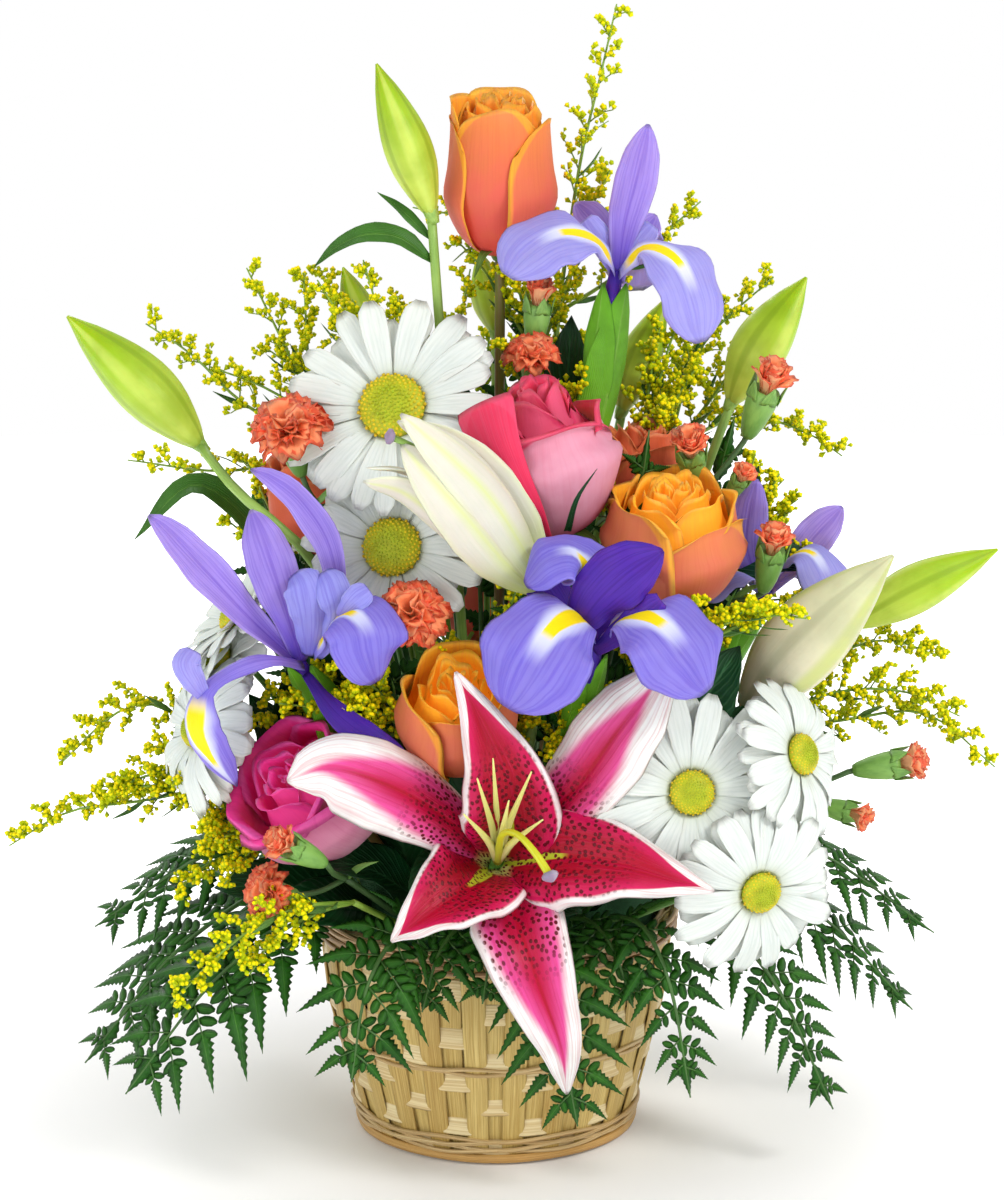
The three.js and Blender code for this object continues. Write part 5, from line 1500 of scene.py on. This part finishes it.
def daisy(name, node, eye, face, radius, eye_radius, rays, droop=0.0, closed=0.0):
    """A daisy on its stem. droop bends its rays back, and closed folds them forward."""
    parts, eye = [], np.array(eye, float)
    for layer in range(2):
        for k in range(rays):
            angle = 2 * math.pi * (k + 0.5 * layer + daisy_chance.uniform(-0.22, 0.22)) / rays
            side = np.array([math.cos(angle), math.sin(angle), 0])
            reach = radius * daisy_chance.uniform(0.9, 1.06) * (1 - 0.07 * layer)
            rise = daisy_chance.normal(0, 0.05) + closed - 0.05 * layer
            inner, low = eye_radius * 0.82, -2.2 - 1.4 * layer
            line = [
                side * inner + [0, 0, low],
                side * (inner + (reach - inner) * 0.5) + [0, 0, low + 1.5 + reach * rise * 0.35],
                side * (reach * (1 - 0.25 * abs(closed))) + [0, 0, low - 1.5 + reach * (rise - droop * 0.5)],
            ]
            ray = petal(
                line, (3.4 + radius * 0.19) * daisy_chance.uniform(0.82, 1.12), (0, 0, 1), RAY,
                cup=daisy_chance.uniform(-0.1, 0.3), thick=0.5, rows=9, columns=9, keel=0.03,
                ruffle=daisy_chance.uniform(0, 0.5), phase=daisy_chance.uniform(0, 6),
                tone=daisy_chance.uniform(0, 0.12), twist=daisy_chance.uniform(-0.25, 0.25),
            )
            parts.append(placed(ray, eye, face))
    dome = turned([(0, -4), (eye_radius * 0.7, -4), (eye_radius, -1.2), (eye_radius * 0.94, 1.6),
                   (eye_radius * 0.66, 3.6), (eye_radius * 0.3, 4.4), (0, 4.5)], 28, finish=1)
    dome["tone"] = 0.3
    parts.append(placed(dome, eye, face))
    number = np.arange(FLORETS)
    spread = np.sqrt((number + 0.5) / FLORETS)
    turn = number * GOLDEN_TURN
    r = eye_radius * spread
    height = 4.5 - 5.0 * spread**3.2
    places = np.stack([r * np.cos(turn), r * np.sin(turn), height], axis=-1)
    slope = 0.9 * spread**2
    outs = np.stack([slope * np.cos(turn), slope * np.sin(turn), 1 + 0 * slope], axis=-1)
    sizes = eye_radius * 0.066 * (0.7 + 0.6 * spread) * daisy_chance.uniform(0.85, 1.15, FLORETS)
    ripeness = np.clip(spread**2.2 * 1.1 + daisy_chance.uniform(-0.1, 0.1, FLORETS), 0, 1)
    parts.append(placed(scattered(FLORET, places, outs, sizes, 1, ripeness), eye, face))
    cup = [(0, -9), (2.4, -9), (5, -7.6), (eye_radius * 0.8, -4.6), (eye_radius * 0.7, -3), (0, -3)]
    parts.append(placed(turned(cup, 20, finish=2), eye, face))
    start = cut_end(eye)
    neck = eye - unit(face) * 22
    line = [start, (start + neck) / 2 + [0, 3, 0], neck, eye - unit(face) * 7]
    parts.append(stalk(line, [2.0, 1.8, 1.6], rows=18, finish=2))
    build(name, parts, [daisy_white, eye_paint, stem_green], "daisy_white", node)


daisy("daisy_upper_bloom", "daisy_upper", (-48, -52, 366), (-0.15, -0.85, 0.45), 53, 15.5, rays=17)
daisy("daisy_middle_bloom", "daisy_middle", (-48, -70, 303), (-0.15, -0.95, 0.3), 42, 13.5, rays=17)
daisy("daisy_right_bloom", "daisy_right", (90, -108, 196), (0.1, -0.95, 0.25), 48, 10.2, rays=15)
daisy("daisy_edge_bloom", "daisy_right_edge", (142, -92, 210), (0.75, -0.6, 0.3), 38, 9.5, rays=14, droop=0.2)
daisy(
    "daisy_low_bloom", "daisy_lower_right", (122, -114, 150), (0.35, -0.9, -0.1), 42, 9.5, rays=15, droop=0.15
)
daisy("daisy_left_bloom", "daisy_left", (-124, -32, 264), (-0.75, -0.1, 0.65), 42, 10, rays=16, closed=0.15)
daisy(
    "daisy_low_left_bloom", "daisy_lower_left", (-142, -58, 214), (-0.8, -0.45, 0.3), 40, 9, rays=18,
    droop=0.3
)
daisy("daisy_left_behind", None, (-132, -34, 240), (-0.85, -0.35, 0.4), 38, 9, rays=16)
daisy("daisy_rear_left_bloom", "daisy_rear_left", (-70, 84, 280), (-0.4, 0.8, 0.4), 42, 12, rays=18)
daisy("daisy_rear_right_bloom", "daisy_rear_right", (84, 90, 220), (0.4, 0.85, 0.3), 42, 12, rays=18)


# ---- Spray carnations -----------------------------------------------------------------------------
# Small coral carnations, one to three on a spray. A tuft of fan-shaped petals with red saw edges
# crowds out of each smooth green calyx, and the youngest ones have hardly opened.

carnation_chance = np.random.default_rng(41)
FRILL_POINTS = 15
HALF_OPEN = 0.7  # a bloom that is less open than this holds its petals upright in a barrel


def frill(reach, fan, tilt, turn, low, tone, waves, wrap):
    """One fan-shaped carnation petal, ruffled and saw-edged, that rises from +Z and tips over.

    A wrap of 1 curves it round the bloom's axis, as the petals of a bloom that is half open.
    """
    u = np.linspace(0, 1, 6)[:, None]
    v = np.linspace(-1, 1, FRILL_POINTS)[None, :]
    teeth = 1 - 0.04 * (np.arange(FRILL_POINTS) % 2)[None, :] * u**3 - 0.2 * v**4
    length = u * reach * teeth
    bent = tilt * u**1.1
    ruffle = (0.16 - 0.1 * wrap) * reach * u**2 * np.sin(waves * math.pi * v / 2 + turn * 3)
    out = length * np.sin(bent) + ruffle * np.cos(bent) + reach * 0.1
    rise = length * np.cos(bent) - ruffle * np.sin(bent)
    side = length * np.sin(v * fan) * 0.95
    barrel = np.maximum(out, 0.3 * reach)
    around = side / barrel
    out = out - wrap * barrel * (1 - np.cos(around))
    side = side + wrap * (barrel * np.sin(around) - side)
    x = out * math.cos(turn) - side * math.sin(turn)
    y = out * math.sin(turn) + side * math.cos(turn)
    sheet = np.stack(np.broadcast_arrays(x, y, low + rise), axis=-1)
    inward = np.array([-math.cos(turn), -math.sin(turn), 1.0])
    return shell(sheet, inward, 0.4, tone=tone)


carnation_coral = petal_material(
    "carnation_coral", (255, 194, 140), (255, 148, 98), (246, 88, 54), (250, 182, 134), gloss=0.6,
    heart_reach=(0.2, 0.9), edge_band=(0.9, 1.0), tip_pull=1.0, tip_power=9.0, rear_edge=(226, 66, 44),
    vein=(232, 96, 66), vein_share=0.2, count=7.0, uneven=0.12, depth=0.0003,
)
calyx_green = stem_material("calyx_green", (130, 176, 84), (84, 132, 58))
spray_stem = stem_material("spray_stem", (84, 118, 66), (54, 84, 48))


def carnation(base, face, scale, opened, petals):
    """The parts of one bloom: calyx, and a tuft of frills that is fuller the more it has opened."""
    profile = [(0, -1), (2.2, -1), (3.2, 1), (4.6, 6), (5.6, 12), (5.9, 17), (5.2, 19), (3.0, 17.5), (0, 16)]
    tube = turned(profile, 16, finish=1)
    plump, spread = (1.25, 1.2) if opened < HALF_OPEN else (1.0, 1.35)
    size = scale * plump
    tube["points"] = tube["points"] * size
    parts = [tube]
    for k in range(5):
        turn = 2 * math.pi * k / 5
        side = np.array([math.cos(turn), math.sin(turn), 0])
        line = [(side * out + [0, 0, up]) * size for out, up in ((5.6, 15), (6.3, 20.5), (7, 23))]
        outline = [(0, 1), (0.5, 0.7), (1, 0.04)]
        parts.append(petal(line, 6.4 * size, side, outline, rows=6, columns=5, finish=1))
    for k in range(petals):
        share = (k + 0.5) / petals
        turn = k * GOLDEN_TURN
        tilt = (0.05 + spread * share ** (1.6 - 0.6 * opened) * opened) * carnation_chance.uniform(0.88, 1.12)
        reach = (17 - 3.0 * share) * (1.35 - 0.35 * opened) * scale * carnation_chance.uniform(0.9, 1.08)
        parts.append(frill(
            reach, 0.8 * (0.6 + 0.4 * opened), tilt, turn, 14.5 * size, tone=carnation_chance.uniform(0, 0.1),
            waves=carnation_chance.uniform(3.5, 5.0), wrap=float(opened < HALF_OPEN),
        ))
    return [placed(part, base, face) for part in parts]


def carnation_spray(name, node, fork, blooms, foot=None):
    """Blooms on side stems from one fork, with a pair of narrow grey-green leaves at the joint."""
    start = cut_end(fork, foot)
    fork = np.array(fork, float)
    parts = [stalk([start, (start + fork) / 2 + [0, 2, 0], fork], [2.0, 1.7], rows=12, finish=2)]
    for base, face, scale, opened, petals in blooms:
        base = np.array(base, float)
        middle = (fork + base) / 2 + np.array([0, 0, -2.0])
        line = [fork, middle, base - unit(face) * 2, base + unit(face)]
        parts.append(stalk(line, [1.4, 1.3, 1.5], rows=9, finish=2))
        parts += carnation(base, face, scale, opened, petals)
    for way in (1, -1):
        side = unit([way, -0.4, 0.9])
        line = [fork, fork + side * 10, fork + side * 22 + [0, 0, -4]]
        outline = [(0, 0.8), (0.4, 1), (1, 0.04)]
        parts.append(petal(line, 3.6, (0, -1, 0.6), outline, rows=9, columns=5, finish=1, cup=0.3))
    build(name, parts, [carnation_coral, calyx_green, spray_stem], "carnation_coral", node)


carnation_spray("carnations_high", "carnations_top", (16, 8, 350), [
    ((17, -20, 368), (0, -0.4, 1), 0.9, 0.9, 24), ((18, -14, 388), (0.1, -0.1, 1), 0.9, 0.35, 12),
], foot=(8, 2))
carnation_spray("carnations_upper_left", "carnations_left", (-84, -40, 318), [
    ((-91, -42, 333), (-0.2, -0.5, 0.95), 1.25, 1.0, 30),
])
carnation_spray("carnations_middle", "carnations_centre", (-22, -46, 240), [
    ((-35, -78, 262), (-0.15, -0.7, 0.7), 1.08, 1.1, 32),
], foot=(-6, -18))
carnation_spray("carnations_up_right", "carnations_upper_right", (92, -14, 312), [
    ((120, -12, 346), (0.35, -0.3, 1), 1.05, 0.4, 14), ((94, -24, 322), (-0.1, -0.5, 0.9), 0.95, 0.5, 16),
    ((110, -28, 318), (0.4, -0.5, 0.8), 0.6, 0.5, 10),
], foot=(20, -6))
carnation_spray("carnations_mid_right", "carnations_right", (112, -36, 270), [
    ((126, -46, 278), (0.15, -0.4, 1), 0.95, 0.42, 14),
])
carnation_spray("carnations_low_left", "carnations_lower_left", (-70, -84, 148), [
    ((-78, -126, 168), (-0.7, -0.45, 0.5), 0.85, 0.45, 14),
    ((-92, -104, 146), (-0.6, -0.7, 0.3), 0.88, 0.9, 26),
])
carnation_spray("carnations_low_right", "carnations_far_right", (136, -30, 176), [
    ((172, -38, 188), (1, -0.2, 0.2), 0.95, 0.5, 16), ((154, -34, 170), (0.85, -0.3, -0.15), 0.75, 0.5, 12),
])


# ---- Goldenrod ------------------------------------------------------------------------------------
# Goldenrod fills the gaps and makes the outline feathery. Its green stems carry arching branchlets,
# crowded on their upper sides with tiny yellow heads, and short narrow leaves.

plume_chance = np.random.default_rng(17)
HEAD = turned([(0, -1.4), (0.92, 0.25), (0, 1.15)], 5)
goldenrod_yellow, tree, shader = new_material("goldenrod_yellow", 0.6, Specular_IOR_Level=0.15)
shade = mix(tree, carried(tree, "tone"), colour(255, 226, 0), colour(232, 218, 0))
cupped = fade(tree, unrolled(tree)["X"], 0.05, 0.5, 0.8, 0.0)
paint(tree, shader, mix(tree, cupped, shade, colour(150, 180, 10)))
twig_green = stem_material("twig_green", (140, 172, 60), (88, 130, 44))
narrow_leaf = leaf_material("narrow_leaf", (58, 104, 40), (96, 138, 66), (110, 150, 76), 0.5, count=3.0)


def plume(line, reach, twigs, heads):
    """One plume along a line: branchlets that shorten to its tip, each crowded with heads."""
    rib = smooth_line(line, 40)
    along = unit(np.gradient(rib, axis=0))
    parts = [stalk(rib, [1.2, 0.8, 0.4], sides=5, rows=14, finish=1)]
    places, outs, tones, count = [], [], [], int(heads * 1.7)
    for k in range(twigs):
        share = 0.25 + 0.73 * (k + 0.5) / twigs
        at = int(share * 39)
        turn = k * 2.4 + plume_chance.uniform(-0.4, 0.4)
        side = unit(np.cross(along[at], [0.2, 0.9, 0.35]))
        other = np.cross(along[at], side)
        toward = unit(side * math.cos(turn) + other * math.sin(turn) + along[at] * 0.75)
        length = reach * (1.1 - 0.75 * share) * plume_chance.uniform(0.75, 1.15)
        end = rib[at] + toward * length + np.array([0, 0, 0.1 * length])
        bend = rib[at] + toward * length * 0.55 + np.array([0, 0, 0.16 * length])
        twig = smooth_line([rib[at], bend, end], 12)
        parts.append(stalk(twig, [0.5, 0.3], sides=3, rows=4, finish=1))
        for j in range(count):
            spot = twig[2 + int(9.9 * (j + plume_chance.uniform(0, 0.9)) / count)]
            up = unit(plume_chance.normal(0, 0.7, 3) + [0, 0, 0.8] + along[at] * 0.4)
            places.append(spot + up * plume_chance.uniform(0.8, 4.2))
            outs.append(up)
            tones.append(plume_chance.uniform(0, 0.8))
    sizes = plume_chance.uniform(1.1, 1.85, len(places))
    parts.append(scattered(HEAD, places, outs, sizes, 0, np.array(tones)))
    for k in range(3):
        at = int(39 * (0.12 + 0.16 * k))
        side = unit(np.cross(along[at], plume_chance.normal(0, 1, 3)))
        leaf_line = [rib[at], rib[at] + side * 6 + along[at] * 8, rib[at] + side * 10 + along[at] * 17]
        outline = [(0, 0.4), (0.4, 1), (1, 0.04)]
        parts.append(petal(leaf_line, 3.4, along[at] - side, outline, rows=7, columns=5, finish=2))
    return parts


def goldenrod(name, node, fork, plumes):
    """A goldenrod stem that branches at its fork into plumes: (line, reach, twigs, heads)."""
    fork = np.array(fork, float)
    start = cut_end(fork)
    parts = [stalk([start, (start + fork) / 2 + [0, 2, 0], fork], [1.8, 1.5], rows=10, finish=1)]
    for line, reach, twigs, heads in plumes:
        parts += plume([tuple(fork), *line], reach, twigs, heads)
    build(name, parts, [goldenrod_yellow, twig_green, narrow_leaf], "goldenrod", node)


goldenrod("goldenrod_high", "goldenrod_top", (30, 22, 400), [
    ([(40, 22, 470), (50, 16, 515), (57, 14, 547)], 23, 18, 8), ([(60, 20, 420), (98, 18, 454)], 17, 11, 10),
    ([(0, 24, 440), (-40, 30, 450)], 16, 10, 11), ([(44, 16, 446), (54, 4, 470)], 18, 9, 14),
])
goldenrod("goldenrod_upper_right_plumes", "goldenrod_upper_right", (84, 36, 330), [
    ([(100, 40, 380), (134, 26, 417)], 20, 14, 11),
    ([(120, 50, 345), (150, 40, 340), (170, 34, 328)], 18, 14, 14),
    ([(90, 50, 360), (98, 48, 411)], 17, 11, 12), ([(100, 30, 350), (122, 20, 384)], 18, 10, 12),
])
goldenrod("goldenrod_right_plumes", "goldenrod_right", (120, 24, 190), [
    ([(160, 20, 226), (190, 14, 240), (220, 8, 232)], 22, 17, 15),
    ([(170, 12, 200), (210, 2, 206), (243, -10, 182)], 20, 16, 14),
    ([(160, 6, 214), (196, 0, 218), (226, -4, 206)], 22, 16, 15),
])
goldenrod("goldenrod_upper_left_plumes", "goldenrod_upper_left", (-80, 42, 330), [
    ([(-100, 20, 380), (-119, 10, 423)], 20, 13, 11),
    ([(-120, 22, 354), (-146, 16, 380), (-168, 12, 396)], 18, 13, 10),
    ([(-130, 26, 322), (-178, 10, 330)], 16, 10, 9), ([(-90, 26, 370), (-92, 14, 420)], 22, 12, 12),
])
goldenrod("goldenrod_left_plumes", "goldenrod_left", (-118, -8, 176), [
    ([(-160, 0, 208), (-184, -4, 208), (-210, -14, 186)], 22, 16, 14),
    ([(-170, -20, 168), (-206, -26, 164), (-235, -30, 148)], 18, 16, 13),
    ([(-140, -20, 180), (-168, -26, 182), (-190, -30, 170)], 22, 14, 14),
])
goldenrod("goldenrod_low_left_plumes", "goldenrod_front_left", (-66, -96, 140), [
    ([(-90, -124, 146), (-118, -136, 134), (-147, -140, 106)], 20, 17, 14),
    ([(-80, -110, 140), (-100, -122, 132), (-112, -130, 116)], 20, 10, 14),
])
goldenrod("goldenrod_rear_plumes", "goldenrod_rear", (10, 60, 300), [
    ([(20, 70, 350), (20, 76, 391)], 20, 11, 11), ([(50, 90, 306), (76, 116, 300)], 20, 11, 11),
    ([(-30, 90, 314), (-50, 116, 330)], 20, 11, 11),
])
FILLS = [
    # fork, then plume ends with their reach
    ((-6, -40, 210), [((-22, -74, 258), 18), ((10, -70, 284), 18), ((2, -88, 256), 16)]),
    ((30, -50, 200), [((44, -94, 228), 17), ((30, -98, 208), 17), ((62, -98, 236), 16)]),
    ((-30, -50, 200), [((-66, -92, 232), 17), ((-74, -84, 252), 16), ((-100, -84, 232), 16)]),
    ((60, -20, 220), [((104, -56, 250), 18), ((122, -60, 262), 16), ((78, -66, 258), 15)]),
    ((26, -14, 330), [((44, -26, 376), 17), ((34, -34, 350), 15), ((2, -24, 392), 18)]),
    ((-30, 0, 320), [((-36, -24, 400), 18), ((-68, -8, 410), 20), ((-12, -4, 424), 18)]),
    ((70, 10, 320), [((82, -6, 360), 17), ((98, 8, 378), 17)]),
    ((-100, -8, 176), [((-136, -62, 198), 17), ((-134, -64, 164), 18), ((-146, -60, 180), 16)]),
    ((90, -30, 170), [((118, -74, 178), 15), ((140, -50, 192), 18)]),
    ((-90, 10, 250), [((-130, -12, 306), 16), ((-122, 0, 336), 16)]),
    ((80, 20, 240), [((128, 6, 296), 18), ((156, 10, 262), 18), ((140, 14, 320), 18)]),
    ((-20, 60, 220), [((-50, 96, 250), 19), ((20, 100, 268), 19)]),
    ((50, 60, 200), [((66, 100, 250), 19), ((96, 96, 190), 18)]),
    ((-60, 60, 190), [((-96, 96, 220), 19), ((-40, 116, 200), 18)]),
    ((20, 10, 380), [((6, -10, 424), 16), ((40, 0, 420), 18), ((-20, 6, 438), 16)]),
    ((-54, -20, 210), [((-86, -56, 238), 17), ((-98, -50, 236), 17), ((-70, -84, 234), 13)]),
    ((-104, -30, 150), [((-146, -56, 190), 18), ((-126, -94, 148), 14), ((-138, -84, 164), 16)]),
    ((-60, 14, 350), [((-75, 20, 408), 16), ((-86, 28, 422), 16), ((-46, 22, 408), 16)]),
    ((24, 16, 350), [((32, 18, 408), 16), ((44, 12, 388), 15), ((20, 16, 396), 14)]),
    ((70, 24, 330), [((80, 28, 394), 17), ((100, 30, 373), 17), ((92, 38, 402), 15)]),
    ((60, 0, 290), [((70, 4, 352), 15), ((58, -20, 326), 14)]),
    ((110, 6, 270), [((128, 8, 328), 17), ((146, 4, 312), 17), ((150, -10, 288), 14)]),
    ((-60, 16, 330), [((-114, 28, 384), 16), ((-138, 20, 374), 15)]),
    ((-126, -20, 170), [((-168, -22, 196), 17), ((-188, -32, 174), 17)]),
    ((6, -40, 190), [((20, -84, 226), 14)]),
    ((-70, -24, 200), [((-110, -50, 226), 15), ((-118, -52, 212), 15)]),
    ((110, 2, 262), [((124, -8, 336), 14), ((136, -6, 326), 14), ((142, -4, 308), 14)]),
    ((80, -66, 244), [((93, -90, 280), 13), ((107, -92, 272), 12)]),
    ((96, -84, 262), [((126, -94, 279), 8), ((142, -92, 274), 8)]),
    ((0, 40, 290), [((-24, 62, 346), 17), ((26, 64, 330), 17)]),
    ((-6, 30, 340), [((-2, 44, 402), 15)]),
    ((-40, 0, 330), [((-62, -20, 430), 17), ((-84, -14, 420), 18), ((-46, -16, 412), 16)]),
    ((-110, -30, 150), [((-136, -70, 170), 18), ((-150, -60, 190), 18), ((-150, -80, 140), 18)]),
]
for number, (fork, ends) in enumerate(FILLS):
    plumes = []
    for end, reach in ends:
        bend = np.array(fork) * 0.4 + np.array(end) * 0.6 + [0, 0, 5]
        plumes.append(([tuple(bend), end], reach, 9, 11))
    goldenrod(f"goldenrod_fill_{number + 1}", None, fork, plumes)
